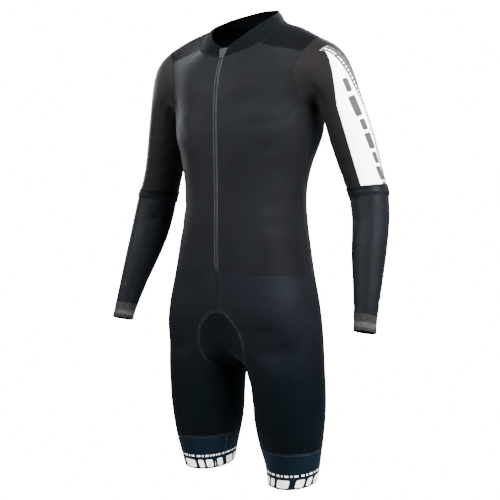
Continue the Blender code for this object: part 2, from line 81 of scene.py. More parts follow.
# Half sections of the trunk from the leg roots up to the collar's top, in millimetres
TRUNK = (
    Row("leg_root", 57, -84, -655, 149, -73, -664, 182, -3, -662, 138, 78, -662, 90, -656, 10, 16, 0),
    Row("hip", 44, -110, -577, 147, -85, -612, 180, 1, -612, 127, 86, -610, 122, -580, 4, 10, 0),
    Row("belly", 14, -111, -545, 137, -88, -557, 172, 1, -557, 120, 82, -557, 119, -552, 3, 7, 0),
    Row("waist_seam", ZIP_EDGE, -111, -499, 125, -88, -505, 160, 1, -503, 111, 80, -505, 113, -505, 3, 4, 0),
    Row("low_waist", ZIP_EDGE, -113, -430, 111, -87, -430, 147, 1, -430, 103, 76, -430, 104, -430, 3, 3, 0),
    Row("waist", ZIP_EDGE, -112, -350, 101, -82, -350, 139, -1, -350, 98, 71, -350, 97, -350, 3, 2, 0),
    Row("ribs", ZIP_EDGE, -114, -274, 109, -83, -272, 148, -1, -272, 110, 80, -272, 106, -272, 4, 3, 0),
    Row("chest", ZIP_EDGE, -116, -212, 129, -80, -205, 165, 0, -205, 136, 89, -205, 112, -205, 7, 6, 0),
    Row("armpit", ZIP_EDGE, -116, -165, 166, -42, -147, 171, 0, -153, 165, 46, -147, 115, -150, 12, 12, 0),
    Row("armhole_low", ZIP_EDGE, -114, -136, 157, -55, -112, 176, 0, -112, 155, 60, -112, 114, -112, 9, 9, 0),
    Row("armhole_high", ZIP_EDGE, -111, -111, 156, -56, -82, 178, 0, -80, 154, 61, -80, 110, -77, 8, 8, 0),
    Row("shoulder", ZIP_EDGE, -106, -90, 167, -42, -49, 189, 2, -21, 165, 46, -49, 104, -42, 8, 6, 0),
    Row("yoke_middle", ZIP_EDGE, -99, -72, 121, -56, -40, 138, 3, 7, 116, 58, -15, 92, -8, 6, 4, 0),
    Row("neck", ZIP_EDGE, -92, -55, 76, -66, -28, 91, -2, 19, 64, 58, 24, 75, 22, 6, 2, 0),
    Row("collar_middle", ZIP_EDGE, -86.5, -44, 65, -62, -13, 81, -6, 26, 60, 51, 38, 70, 41, 5, 2, 2),
    Row("collar_top", ZIP_EDGE, -80, -34, 53, -57, 1, 69, -10, 29, 54, 42, 51, 62, 60, 4, 2, 4),
)
ROW = {row.name: number for number, row in enumerate(TRUNK)}

# Where a ring turns round the armhole or the yoke, the way its edge line leads on beyond each edge
TURNS = {"armpit": (-9, -13, 35), "shoulder": (-9, -15, -31), "yoke_middle": (-8, -14, -28)}

# Outline of the seat pad panel on one side, from the front point under the crotch to the back point
PadPoint = namedtuple("PadPoint", "ring column x y z")
PAD_OUTLINE = (
    PadPoint("hip", 1, 43, -106, -608),
    PadPoint("leg_root", 1, 57, -99, -644),
    PadPoint("thigh_top", 1, 56, -89, -676),
    PadPoint("thigh_top", 0, 45, -74, -693),
    PadPoint("thigh_top", 12, 36, -40, -705),
    PadPoint("thigh_top", 11, 32, 2, -713),
    PadPoint("thigh_top", 10, 36, 40, -709),
    PadPoint("thigh_top", 9, 46, 74, -699),
    PadPoint("thigh_top", 8, 64, 98, -682),
    PadPoint("leg_root", 8, 70, 112, -650),
    PadPoint("hip", 8, 56, 126, -604),
)

# Crotch curve on the centre plane, from back to front, as ring columns 10, 11 and 12
CROTCH = ((10, 46, -686), (11, 0, -698), (12, -50, -684))

# Angles round a thigh for its thirteen columns: 0 faces forward and 90 outward
THIGH_ANGLES = (-50, -27, 3, 32, 61, 90, 119, 150, 188, 230, 250, 270, 290)

# Thigh rings: centre, half sizes, height, how far the front and the outside drop, lift of each side,
# and the share by which the ring is longer from its outer front to its inner back
Thigh = namedtuple("Thigh", "name x y width front back z front_drop outer_drop left_drop skew")
THIGH_LONG_WAY = 55
THIGHS = (
    Thigh("thigh_top", 105, -6, 80, 83, 92, -702, 0, 4, 0, 0.02),
    Thigh("thigh_upper", 107, 0, 81, 80, 84, -752, 0, 0, 1, 0.03),
    Thigh("thigh_middle", 108, 4.5, 77.5, 79, 78, -812, 2, 0, 3, 0.035),
    Thigh("band_seam", 109, 8, 69, 70, 69, -865, 7, 2, 5, 0.045),
    Thigh("band_middle", 111, 12, 61, 62, 61, -901, 9, 1, 6, 0.05),
    Thigh("hem", 110, 13, 55, 56, 55, -937, 10, 0, 7, 0.02),
)

# Sleeve rings from the shoulder to the wrist: centre, outward lean, half sizes, long-axis turn, rise
Sleeve = namedtuple("Sleeve", "name x y z lean outer front turn left_rise")
SLEEVES = (
    Sleeve("cap", 206, 8, -104, 63, 62, 51, 0, 0),
    Sleeve("upper_arm", 224, 17, -156, 33, 46, 47, 0, 0),
    Sleeve("biceps", 239, 27, -212, 18, 46, 46, 0, 0),
    Sleeve("arm_low", 255, 35, -272, 11, 44, 44, 0, 1),
    Sleeve("elbow_hem", 272, 37, -327, 6, 45, 40, 30, 2),
    Sleeve("elbow", 277, 36, -341, 6, 45, 39, 30, 2),
    Sleeve("forearm_top", 286, 29, -392, 6, 45, 37, 38, 3),
    Sleeve("forearm_middle", 293, 9, -454, 5, 40, 35, 38, 3),
    Sleeve("forearm_low", 303, -15, -520, 3, 32, 29, 30, 4),
    Sleeve("cuff_seam", 311, -37, -584, 0, 25, 23, 20, 5),
    Sleeve("cuff_end", 314.5, -46, -615, 0, 24.5, 22, 20, 5),
)
SLEEVE_COLUMNS = 14

# The sleeve's outer panel covers these columns
PANEL_SLEEVE_COLUMNS = (13, 0, 1, 2)

# Places round the front of each shoulder that are set one by one: ring, column and place
SHOULDER_POINTS = (
    ("yoke_middle", 4, 133, -31, -7),
    ("shoulder", 4, 186, -26, -23),
    ("cap", 2, 223, -31, -61),
    ("cap", 3, 210, -41, -83),
)

SMOOTHING_ROUNDS = 8
SIDES = (("left", 1), ("right", -1))
LEVELS = 3

# Columns start to count backwards here, so that the print on a sleeve's outside has no break
SLEEVE_TURN_COLUMN = 9
THIGH_COLUMN_WIDTH = 35.0
SLEEVE_COLUMN_WIDTH = 19.5
TRUNK_COLUMN_WIDTH = 44.0


class Cage:
    """Coarse quads with a panel name and flat cloth places each, and points found by ring and column."""

    def __init__(self):
        self.points = []
        self.index = {}
        self.quads = []
        self.panels = []
        self.cloth_places = []
        self.creases = []

    def put(self, ring, column, side, place):
        x, y, z = place
        key = (ring, column, 0 if abs(x) < 1e-9 else side)
        if key not in self.index:
            self.index[key] = len(self.points)
            self.points.append((x * side, y, z))
        else:
            self.points[self.index[key]] = (x * side, y, z)

    def at(self, ring, column, side):
        middle = (ring, column, 0)
        return self.index[middle] if middle in self.index else self.index[(ring, column, side)]

    def crease(self, stations, side):
        found = [self.at(ring, column, side) for ring, column in stations]
        self.creases += [(min(pair), max(pair)) for pair in zip(found, found[1:])]

    def quad(self, corners, side, panel, left, right, low, high):
        """Corners run from the low left one, and their flat places are across, then up."""
        places = [(left, low), (right, low), (right, high), (left, high)]
        self.quads.append(corners if side > 0 else corners[::-1])
        self.cloth_places.append(places if side > 0 else places[::-1])
        self.panels.append(panel)

    def patch(self, rings, columns, side, panel, width, levels):
        """Face between two rings, the lower first, and two columns, whose flat width is given."""
        (lower, upper), (column, after) = rings, columns
        corners = (self.at(lower, column, side), self.at(lower, after, side),
                   self.at(upper, after, side), self.at(upper, column, side))
        self.quad(corners, side, panel, column * width, (column + 1) * width, *levels)


def between(before, start, end, after):
    """Middle of a smooth curve through four points that follow each other."""
    return (-before + 9 * start + 9 * end - after) / 16


def trunk_ring(row, side):
    """Ten points of a half section from its five key points."""
    front = np.array((0, row.front_y, row.front_z), float)
    edge = np.array((row.edge_x, row.edge_y, row.edge_z), float)
    hip = np.array((row.side_x, row.side_y, row.side_z), float)
    rear = np.array((row.rear_x, row.rear_y, row.rear_z), float)
    back = np.array((0, row.back_y, row.back_z), float)
    mirror = np.array((-1, 1, 1))
    second = between(edge * mirror, front, edge, hip) - (0, row.front_bulge, 0)
    beyond_edge, beyond_rear = front, back
    if row.name in TURNS:
        turn = np.array(TURNS[row.name], float)
        beyond_edge = edge + turn
        beyond_rear = rear + turn * (1, -1, 1)
    fourth = between(beyond_edge, edge, hip, rear)
    sixth = between(edge, hip, rear, beyond_rear)
    eighth = between(hip, rear, back, rear * mirror) + (0, row.back_bulge, 0)
    share = row.strip / second[0]
    strip = front + (second - front) * share ** 2
    strip[0] = row.strip
    ring = [front, strip, second, edge, fourth, hip, sixth, rear, eighth, back]
    for place in ring:
        place[2] += row.left_rise * side * place[0] / row.side_x
    return ring


def leg_height(ring, angle, side):
    forward, outward = math.cos(math.radians(angle)), math.sin(math.radians(angle))
    return ring.z - ring.front_drop * forward - ring.outer_drop * outward - ring.left_drop * side


def thigh_ring(ring, side):
    """Thirteen points round one thigh."""
    points = []
    for angle in THIGH_ANGLES:
        forward = math.cos(math.radians(angle))
        outward = math.sin(math.radians(angle))
        depth = ring.front if forward > 0 else ring.back
        reach = 1 + ring.skew * math.cos(2 * math.radians(angle - THIGH_LONG_WAY))
        points.append((ring.x + ring.width * outward * reach, ring.y - depth * forward * reach,
                       leg_height(ring, angle, side)))
    return points


def sleeve_ring(ring, tangent, side):
    """Points round the arm, from the outside to the front, the inside and the back."""
    lean = math.radians(ring.lean)
    outward = Vector((math.cos(lean), 0, math.sin(lean)))
    forward = outward.cross(tangent).normalized()
    if forward.y > 0:
        forward.negate()
    points = []
    for column in range(SLEEVE_COLUMNS):
        angle = 2 * math.pi * column / SLEEVE_COLUMNS
        turned = angle - math.radians(ring.turn)
        radius = ring.outer * ring.front / math.hypot(ring.front * math.cos(turned),
                                                      ring.outer * math.sin(turned))
        place = Vector((ring.x, ring.y, ring.z + ring.left_rise * side))
        place += outward * (radius * math.cos(angle)) + forward * (radius * math.sin(angle))
        points.append(tuple(place))
    return points


def trunk_panel(row, column, side_name):
    """Name of the sewn panel that a trunk face belongs to, or None in the armhole."""
    low = TRUNK[row].name
    if low == "leg_root" and column in (0, 8):
        return "seat_pad"
    if row < ROW["waist_seam"]:
        return "shorts_" + side_name
    if column == 0:
        return "zip_strip"
    if row >= ROW["neck"]:
        return "collar"
    if row >= ROW["shoulder"] and FRONT_EDGE <= column < BACK_EDGE:
        return "yoke_" + side_name
    if row >= ROW["armpit"] and FRONT_EDGE <= column < BACK_EDGE:
        return None
    return "front_" + side_name if column < SIDE else "back"


def thigh_panel(ring, column, side_name):
    """Name of the sewn panel that a thigh face belongs to."""
    if ring == 0 and column in (0, 8, 9, 10, 11, 12):
        return "seat_pad"
    if THIGHS[ring].name in ("band_middle", "hem"):
        return "hem_band_" + side_name
    return "shorts_" + side_name


def sleeve_panel(ring, column, side_name):
    """Name of the sewn panel that a sleeve face belongs to."""
    name = SLEEVES[ring].name
    if name == "cuff_end":
        return "cuff_" + side_name
    if ring > [s.name for s in SLEEVES].index("elbow"):
        return "forearm_" + side_name
    if name == "elbow":
        return "lap_" + side_name
    if side_name == "left" and ring > 0 and column in PANEL_SLEEVE_COLUMNS:
        return "sleeve_panel_left"
    return "sleeve_" + side_name


def armhole_loop(cage, side):
    """Cage points round the armhole, from the shoulder to the front, the armpit and the back."""
    stations = [("shoulder", column) for column in (5, 4, 3)]
    stations += [("armhole_high", 3), ("armhole_low", 3)]
    stations += [("armpit", column) for column in (3, 4, 5, 6, 7)]
    stations += [("armhole_low", 7), ("armhole_high", 7)]
    stations += [("shoulder", column) for column in (7, 6)]
    return [cage.at(ring, column, side) for ring, column in stations]


def trunk_heights():
    """Length of cloth up the side of the trunk, from the waist seam to each row."""
    heights = [0.0]
    for low, high in zip(TRUNK, TRUNK[1:]):
        step = (high.side_x - low.side_x, high.side_y - low.side_y, high.side_z - low.side_z)
        heights.append(heights[-1] + math.hypot(*step))
    return [height - heights[ROW["waist_seam"]] for height in heights]


def build_cage():
    cage = Cage()
    open_rows = ("armhole_low", "armhole_high")
    heights = trunk_heights()
    for side_name, side in SIDES:
        for row in TRUNK:
            for column, place in enumerate(trunk_ring(row, side)):
                if row.name in open_rows and FRONT_EDGE < column < BACK_EDGE:
                    continue
                cage.put(row.name, column, side, place)
        for column, y, z in CROTCH:
            cage.put("leg_root", column, side, (0, y, z))
        for ring in THIGHS:
            for column, place in enumerate(thigh_ring(ring, side)):
                cage.put(ring.name, column, side, place)
        for mark in PAD_OUTLINE:
            cage.put(mark.ring, mark.column, side, (mark.x, mark.y, mark.z))
        for number, (row, upper) in enumerate(zip(TRUNK, TRUNK[1:])):
            for column in range(RING_COLUMNS - 1):
                panel = trunk_panel(number, column, side_name)
                if panel is not None:
                    cage.patch((row.name, upper.name), (column, column + 1), side, panel,
                               TRUNK_COLUMN_WIDTH, heights[number:number + 2])
        rings = ["leg_root"] + [ring.name for ring in THIGHS]
        levels = [height - THIGHS[-1].z for height in [TRUNK[0].side_z] + [ring.z for ring in THIGHS]]
        count = len(THIGH_ANGLES)
        for number in range(len(THIGHS)):
            for column in range(count):
                cage.patch((rings[number + 1], rings[number]), (column, (column + 1) % count), side,
                           thigh_panel(number, column, side_name), THIGH_COLUMN_WIDTH,
                           (levels[number + 1], levels[number]))
        cage.crease([(row.name, STRIP) for row in TRUNK[ROW["waist_seam"]:]], side)
        outline = [("hip", FRONT)] + [(mark.ring, mark.column) for mark in PAD_OUTLINE] + [("hip", BACK)]
        cage.crease(outline, side)
        add_sleeve(cage, side_name, side)
    return cage


def add_sleeve(cage, side_name, side):
    centres = [Vector((ring.x, ring.y, ring.z)) for ring in SLEEVES]
    for number, ring in enumerate(SLEEVES):
        before = centres[max(number - 1, 0)]
        after = centres[min(number + 1, len(SLEEVES) - 1)]
        tangent = (after - before).normalized()
        for column, place in enumerate(sleeve_ring(ring, tangent, side)):
            cage.put(ring.name, column, side, place)
    for ring_name, column, x, y, z in SHOULDER_POINTS:
        cage.put(ring_name, column, side, (x, y, z))
    upper = armhole_loop(cage, side)
    high = (centres[0] - centres[-1]).length + (centres[0] - centres[1]).length
    for number, ring in enumerate(SLEEVES):
        low = (centres[number] - centres[-1]).length
        lower = [cage.at(ring.name, column, side) for column in range(SLEEVE_COLUMNS)]
        for column in range(SLEEVE_COLUMNS):
            after = (column + 1) % SLEEVE_COLUMNS
            corners = (upper[column], upper[after], lower[after], lower[column])
            across = column if column < SLEEVE_TURN_COLUMN else column - SLEEVE_COLUMNS
            cage.quad(corners, side, sleeve_panel(number, column, side_name),
                      across * SLEEVE_COLUMN_WIDTH, (across + 1) * SLEEVE_COLUMN_WIDTH, high, low)
        upper = lower
        high = low


def smoothing_step(points, quads, creases):
    """One Catmull-Clark step on quads. Old points come first, and crease lines stay sharp."""
    size = len(points)
    corners = points[quads]
    centres = corners.mean(axis=1)
    edges = np.stack([quads, np.roll(quads, -1, axis=1)], axis=2)
    pairs, numbers = np.unique(np.sort(edges.reshape(-1, 2), axis=1), axis=0, return_inverse=True)
    numbers = numbers.reshape(quads.shape)
    uses = np.bincount(numbers.ravel(), minlength=len(pairs))
    middles = points[pairs].mean(axis=1)
    spread = np.zeros((len(pairs), 3))
    np.add.at(spread, numbers.ravel(), np.repeat(centres, 4, axis=0))
    sharp = np.isin(pairs[:, 0] * size + pairs[:, 1], creases[:, 0] * size + creases[:, 1])
    sharp |= uses == 1
    edge_points = np.where(sharp[:, None], middles, (middles * 2 + spread) / 4)

    valence = np.bincount(quads.ravel(), minlength=size).astype(float)[:, None]
    centre_sum = np.zeros((size, 3))
    np.add.at(centre_sum, quads.ravel(), np.repeat(centres, 4, axis=0))
    middle_sum = np.zeros((size, 3))
    np.add.at(middle_sum, pairs.ravel(), np.repeat(middles, 2, axis=0))
    edges_at = np.bincount(pairs.ravel(), minlength=size).astype(float)[:, None]
    moved = (centre_sum / valence + 2 * middle_sum / edges_at + (valence - 3) * points) / valence
    line_sum = np.zeros((size, 3))
    np.add.at(line_sum, pairs[sharp].ravel(), np.repeat(middles[sharp], 2, axis=0))
    lines_at = np.bincount(pairs[sharp].ravel(), minlength=size)
    on_line = lines_at == 2
    moved[on_line] = line_sum[on_line] / 4 + points[on_line] / 2
    corner = (lines_at == 1) | (lines_at > 2)
    moved[corner] = points[corner]

    all_points = np.vstack([moved, edge_points, centres])
    edge_at = numbers + size
    centre_at = np.arange(len(quads)) + size + len(pairs)
    parts = []
    for turn in range(4):
        parts.append(np.stack([quads[:, turn], edge_at[:, turn], centre_at, edge_at[:, turn - 1]],
                              axis=1))
    fine = np.stack(parts, axis=1).reshape(-1, 4)
    halves = np.nonzero(sharp)[0]
    fine_creases = np.vstack([np.stack([pairs[halves, end], halves + size], axis=1) for end in (0, 1)])
    return all_points, fine, fine_creases


def finer_places(places):
    """Flat cloth places of the four smaller quads of each quad, in the order of smoothing_step."""
    middle = (places + np.roll(places, -1, axis=1)) / 2
    centre = places.mean(axis=1)
    parts = []
    for turn in range(4):
        parts.append(np.stack([places[:, turn], middle[:, turn], centre, middle[:, turn - 1]], axis=1))
    return np.stack(parts, axis=1).reshape(-1, 4, 2)


def settle(points, quads, creases):
    """Move the cage so that its smoothed form passes through the given points."""
    cage = points.copy()
    for _ in range(SMOOTHING_ROUNDS):
        smoothed = smoothing_step(cage, quads, creases)[0][:len(points)]
        cage += points - smoothed
    return cage


def vertex_normals(points, quads):
    corners = points[quads]
    faces = np.cross(corners[:, 2] - corners[:, 0], corners[:, 3] - corners[:, 1])
    normals = np.zeros_like(points)
    np.add.at(normals, quads.ravel(), np.repeat(faces, 4, axis=0))
    return normals / np.linalg.norm(normals, axis=1, keepdims=True)


Form = namedtuple("Form", "points quads panels places normals free_edges")


def rim_edges(quads):
    """Directed edges that only one of these faces uses, with that face's number."""
    size = int(quads.max()) + 1
    starts = quads.ravel()
    ends = np.roll(quads, -1, axis=1).ravel()
    alone = ~np.isin(starts * size + ends, ends * size + starts)
    numbers = np.repeat(np.arange(len(quads)), 4)
    return {(int(a), int(b)): int(n) for a, b, n in zip(starts[alone], ends[alone], numbers[alone])}


def smooth_form(levels):
    """Smoothed body form with its folds, a panel name and flat cloth places for each face."""
    cage = build_cage()
    quads = np.array(cage.quads)
    creases = np.array(cage.creases)
    places = np.array(cage.cloth_places, float)
    points = settle(np.array(cage.points, float), quads, creases)
    panels = list(cage.panels)
    for _ in range(levels):
        points, quads, creases = smoothing_step(points, quads, creases)
        places = finer_places(places)
        panels = [panel for panel in panels for _ in range(4)]
    free = set((min(edge), max(edge)) for edge in rim_edges(quads))
    normals = vertex_normals(points, quads)
    points = points + normals * fold_heights(points, normals)[:, None]
    return Form(points, quads, np.array(panels), places, vertex_normals(points, quads), free)


# Soft folds: two ends in millimetres, sideways bow, half width, depth; a trough with a low ridge each side
Fold = namedtuple("Fold", "ax ay az bx by bz bow width depth")


def both(ax, ay, az, bx, by, bz, bow, width, depth):
    """The same fold on the left and on the right."""
    return (Fold(ax, ay, az, bx, by, bz, bow, width, depth),
            Fold(-ax, ay, az, -bx, by, bz, -bow, width, depth))


FOLDS = (
    # below the near arm, across the chest and the belly
    Fold(60, -112, -212, 150, -78, -196, 10, 13, 1.6),
    Fold(80, -104, -250, 152, -60, -215, -8, 15, 1.2),
    Fold(-70, -112, -220, -150, -78, -200, -8, 14, 1.5),
    Fold(-88, -104, -262, -150, -52, -226, 8, 16, 1.1),
    Fold(96, -94, -372, 144, -30, -352, 7, 13, 1.2),
    Fold(90, -96, -404, 142, -24, -398, -6, 12, 1.0),
    Fold(-94, -94, -378, -143, -30, -360, -6, 13, 1.1),
    Fold(-92, -96, -410, -143, -22, -402, 7, 12, 0.9),
    # from the armpits down the sides and over the back
    Fold(152, -64, -126, 120, -92, -172, 8, 10, 1.5),
    Fold(164, -40, -150, 150, -70, -204, -6, 9, 1.6),
    Fold(-152, -64, -126, -118, -92, -170, -8, 10, 1.4),
    Fold(-164, -40, -150, -152, -68, -200, 6, 9, 1.5),
    Fold(156, 62, -128, 96, 104, -196, -12, 13, 2.0),
    Fold(162, 52, -150, 118, 92, -232, 8, 12, 1.7),
    Fold(-156, 62, -126, -98, 104, -190, 12, 13, 1.9),
    Fold(-162, 50, -150, -120, 92, -226, -8, 12, 1.7),
    Fold(-70, 98, -352, 64, 98, -340, 9, 15, 1.7),
    Fold(-82, 94, -392, 40, 102, -380, -8, 13, 1.4),
    Fold(12, 102, -404, 104, 76, -396, 7, 12, 1.3),
    Fold(-30, 104, -432, 78, 96, -440, -6, 14, 1.1),
    Fold(-60, 88, -26, 56, 88, -30, 10, 11, 1.0),
    # collar ends of the yoke seams
    Fold(70, -68, -34, 96, -72, -50, 3, 5, 1.1),
    Fold(-70, -68, -34, -94, -72, -52, -3, 5, 1.0),
    Fold(40, -86, -56, 68, -84, -66, 3, 7, 0.8),
    # hips, groin and under the seat
    Fold(66, -108, -622, 150, -62, -590, -10, 15, 1.6),
    Fold(74, -98, -668, 158, -50, -640, -8, 13, 1.4),
    Fold(-66, -108, -624, -150, -62, -594, 10, 15, 1.5),
    Fold(-74, -98, -670, -156, -52, -640, 8, 13, 1.4),
    Fold(46, 106, -704, 136, 86, -716, 10, 11, 2.4),
    Fold(-46, 106, -704, -138, 84, -714, -10, 11, 2.3),
    Fold(60, 98, -730, 120, 86, -738, 6, 10, 1.4),
    Fold(-58, 98, -732, -116, 86, -740, -6, 10, 1.4),
    # inner thighs and above the bands
    Fold(34, -40, -742, 92, -82, -722, -7, 12, 1.4),
    Fold(-34, -40, -742, -90, -82, -724, 7, 12, 1.5),
    Fold(40, -20, -790, 74, -68, -806, 6, 12, 1.0),
    Fold(-40, -20, -792, -76, -68, -808, -6, 12, 1.0),
    Fold(60, -48, -850, 130, -56, -846, 5, 9, 1.1),
    Fold(-60, -48, -840, -128, -56, -838, -5, 9, 1.1),
    Fold(62, 60, -838, 140, 62, -842, 5, 9, 1.2),
    Fold(-62, 60, -834, -138, 62, -836, -5, 9, 1.2),
    # upper sleeves: cap, under the arm and above the lapped hem
    Fold(176, -46, -112, 206, -34, -160, 6, 8, 1.6),
    Fold(184, -40, -132, 200, -28, -196, -5, 8, 1.6),
    Fold(-176, -46, -112, -206, -34, -160, -6, 8, 1.6),
    Fold(-184, -40, -132, -200, -28, -196, 5, 8, 1.5),
    *both(190, 54, -120, 204, 66, -190, 6, 9, 1.8),
    *both(204, 6, -212, 232, -12, -250, 4, 8, 1.4),
    *both(216, 10, -268, 262, -8, -286, 5, 9, 1.5),
    *both(226, 34, -300, 254, 4, -306, 4, 6, 1.2),
    *both(240, 72, -296, 286, 74, -310, 6, 8, 1.6),
    # inside and outside of the elbows
    Fold(238, 22, -356, 284, -10, -350, 6, 8, 1.5),
    Fold(-238, 22, -356, -284, -10, -350, -6, 8, 1.4),
    *both(242, 10, -382, 292, -12, -392, -6, 9, 1.3),
    *both(264, 72, -372, 316, 56, -384, 6, 9, 1.5),
    *both(266, -12, -470, 312, -22, -446, 6, 11, 1.0),
)
# Bunched cloth above each cuff: rings of short uneven folds, height range and size in millimetres
CUFF_FOLD_HEIGHTS = (-572, -561, -549, -536, -520, -500)
CUFF_FOLD_WIDTH = 4.6
CUFF_FOLD_DEPTH = 1.25
CUFF_FOLD_SEED = 11
CUFF_FOLD_COUNTS = (3, 3, 3, 3, 2, 2)
# Each fold's span in radians, tilt and bow in millimetres, spread of width and depth, and loss for each ring
CUFF_FOLD_SPAN = (0.7, 1.25)
CUFF_FOLD_TILT = 7
CUFF_FOLD_BOW = 3
CUFF_FOLD_WIDTH_SPREAD = (0.8, 1.4)
CUFF_FOLD_DEPTH_SPREAD = (0.7, 1.2)
CUFF_FOLD_LOSS = 0.12
# A fold runs on past its ends by this share, fades in and out over these, and reaches so deep into the form
FOLD_RUN_ON = 0.3
FOLD_FADE_IN = 0.35
FOLD_FADE_OUT = 0.45
FOLD_REACH = 26.0
RIDGE_SPREAD = 1.7
# Slight unevenness of the whole cloth
RELIEF_SIZE = 62.0
RELIEF_DEPTH = 0.55


def wrist_centre(z):
    """Centre and half size of the sleeve at one height, left side."""
    for upper, lower in zip(SLEEVES, SLEEVES[1:]):
        if lower.z <= z <= upper.z:
            share = (upper.z - z) / (upper.z - lower.z)
            return (upper.x + (lower.x - upper.x) * share, upper.y + (lower.y - upper.y) * share,
                    upper.outer + (lower.outer - upper.outer) * share)
    last = SLEEVES[-1]
    return last.x, last.y, last.outer


def cuff_folds():
    """Short folds that run part of the way round the forearm above the cuff."""
    draw = random.Random(CUFF_FOLD_SEED)
    folds = []
    for _, side in SIDES:
        for number, (height, count) in enumerate(zip(CUFF_FOLD_HEIGHTS, CUFF_FOLD_COUNTS)):
            x, y, half = wrist_centre(height)
            for _ in range(count):
                start = draw.uniform(0, 2 * math.pi)
                span = draw.uniform(*CUFF_FOLD_SPAN)
                tilt = draw.uniform(-CUFF_FOLD_TILT, CUFF_FOLD_TILT)
                ends = []
                for angle, rise in ((start, -tilt), (start + span, tilt)):
                    ends += [side * (x + half * math.cos(angle)), y + half * math.sin(angle), height + rise]
                bow = draw.uniform(-CUFF_FOLD_BOW, CUFF_FOLD_BOW)
                width = CUFF_FOLD_WIDTH * draw.uniform(*CUFF_FOLD_WIDTH_SPREAD)
                depth = CUFF_FOLD_DEPTH * (1.0 - CUFF_FOLD_LOSS * number)
                folds.append(Fold(*ends, bow, width, depth * draw.uniform(*CUFF_FOLD_DEPTH_SPREAD)))
    return folds


def fold_heights(points, normals):
    """How far each point of the cloth stands out of or sinks into the smooth form, in millimetres."""
    heights = np.zeros(len(points))
    for fold in list(FOLDS) + cuff_folds():
        start = np.array(fold[0:3], float)
        end = np.array(fold[3:6], float)
        line = end - start
        length = np.linalg.norm(line)
        line /= length
        offset = points - start
        along = offset @ line
        share = along / length
        near = (share > -FOLD_RUN_ON) & (share < 1 + FOLD_RUN_ON)
        across_way = np.cross(normals[near], line)
        across_way /= np.maximum(np.linalg.norm(across_way, axis=1, keepdims=True), 1e-6)
        across = np.einsum("ij,ij->i", offset[near], across_way)
        deep = np.einsum("ij,ij->i", offset[near] - across[:, None] * across_way
                         - along[near][:, None] * line, normals[near])
        part = share[near]
        across = across - fold.bow * 4 * part * (1 - part)
        place = across / fold.width
        trough = -(1 - place ** 2) * np.exp(-place ** 2 / RIDGE_SPREAD)
        ends = np.clip(part / FOLD_FADE_IN, 0, 1) * np.clip((1 - part) / FOLD_FADE_OUT, 0, 1)
        ends = ends * ends * (3 - 2 * ends)
        close = np.exp(-(deep / FOLD_REACH) ** 2)
        heights[near] += fold.depth * trough * ends * close
    relief = [noise.noise(Vector(point) / RELIEF_SIZE) for point in points]
    return heights + RELIEF_DEPTH * np.array(relief)


def face_numbers(form, names):
    return np.nonzero(np.isin(form.panels, names))[0]


# Above this cosine two edges of a rim count as one straight line
STRAIGHT_RIM = 0.97


def inward_shift(first, second, one, two):
    """Shift that moves a rim point in by one amount from each of its two rim edges."""
    shared = first.dot(second)
    if abs(shared) > STRAIGHT_RIM:
        return (first + second) / 2 * max(one, two)
    scale = 1 - shared * shared
    return first * ((one - shared * two) / scale) + second * ((two - shared * one) / scale)


def rim_shifts(form, quads, rim):
    """For each rim point, the shift at its seam and the way into the panel by one millimetre."""
    found = {}
    for (a, b), number in rim.items():
        along = form.points[b] - form.points[a]
        side = np.cross(form.normals[a] + form.normals[b], along)
        side /= np.linalg.norm(side)
        if side.dot(form.points[quads[number]].mean(axis=0) - form.points[a]) < 0:
            side = -side
        gap = 0.0 if (min(a, b), max(a, b)) in form.free_edges else -SEAM_LAP
        found.setdefault(a, []).append((side, gap))
        found.setdefault(b, []).append((side, gap))
    gaps, ways = {}, {}
    for point, ((first, one), (second, two)) in ((p, f[:2]) for p, f in found.items()):
        gaps[point] = inward_shift(first, second, one, two)
        ways[point] = inward_shift(first, second, 1.0, 1.0)
    return gaps, ways


# Rounded edge of a panel: how far in from the edge and how deep, in shares of the roll and the cloth
ROLL = 1.5
ZIP_TAPE_ROLL = 0.5
EDGE_PROFILE = ((0.50, 0.0), (0.16, 0.13), (0.0, 0.5), (0.16, 0.87), (0.50, 1.0))


def per_point(value, points):
    """One value for each point, from a number or from a function of the point."""
    return np.array([value(point) if callable(value) else float(value) for point in points])


def panel_shell(form, faces, thickness, lift=0.0, roll=ROLL):
    """Closed thin shell over these faces with a rounded edge, and the flat places of its corners."""
    quads = form.quads[faces]
    flat = form.places[faces]
    rim = rim_edges(quads)
    gaps, ways = rim_shifts(form, quads, rim)
    used = np.unique(quads)
    local = np.searchsorted(used, quads)
    count = len(used)
    rise = per_point(lift, used)
    depth = per_point(thickness, used)
    start = form.points[used].copy()
    normals = form.normals[used]
    place = {int(point): number for number, point in enumerate(used)}
    for point, gap in gaps.items():
        start[place[point]] += gap + ways[point] * roll
    outer = start + normals * rise[:, None]
    inner = start + normals * (rise - depth)[:, None]
    points = [outer, inner]
    rings = {}
    extra = []
    for point, way in ways.items():
        number = place[point]
        edge = start[number] - way * roll
        ring = [number]
        for inset, share in EDGE_PROFILE:
            ring.append(2 * count + len(extra))
            height = rise[number] - depth[number] * share
            extra.append(edge + way * (roll * inset) + normals[number] * height)
        ring.append(number + count)
        rings[point] = ring
    points.append(np.array(extra))
    polygons = local.tolist() + (local[:, ::-1] + count).tolist()
    places = flat.tolist() + flat[:, ::-1].tolist()
    for (a, b), number in rim.items():
        corners = quads[number].tolist()
        place_a, place_b = (flat[number][corners.index(end)].tolist() for end in (a, b))
        for step in range(len(rings[a]) - 1):
            polygons.append([rings[b][step], rings[a][step], rings[a][step + 1], rings[b][step + 1]])
            places.append([place_b, place_a, place_a, place_b])
    return np.vstack(points), polygons, places


def link(name, data):
    """A new object with this data, put in the scene."""
    made = bpy.data.objects.new(name, data)
    bpy.context.scene.collection.objects.link(made)
    return made


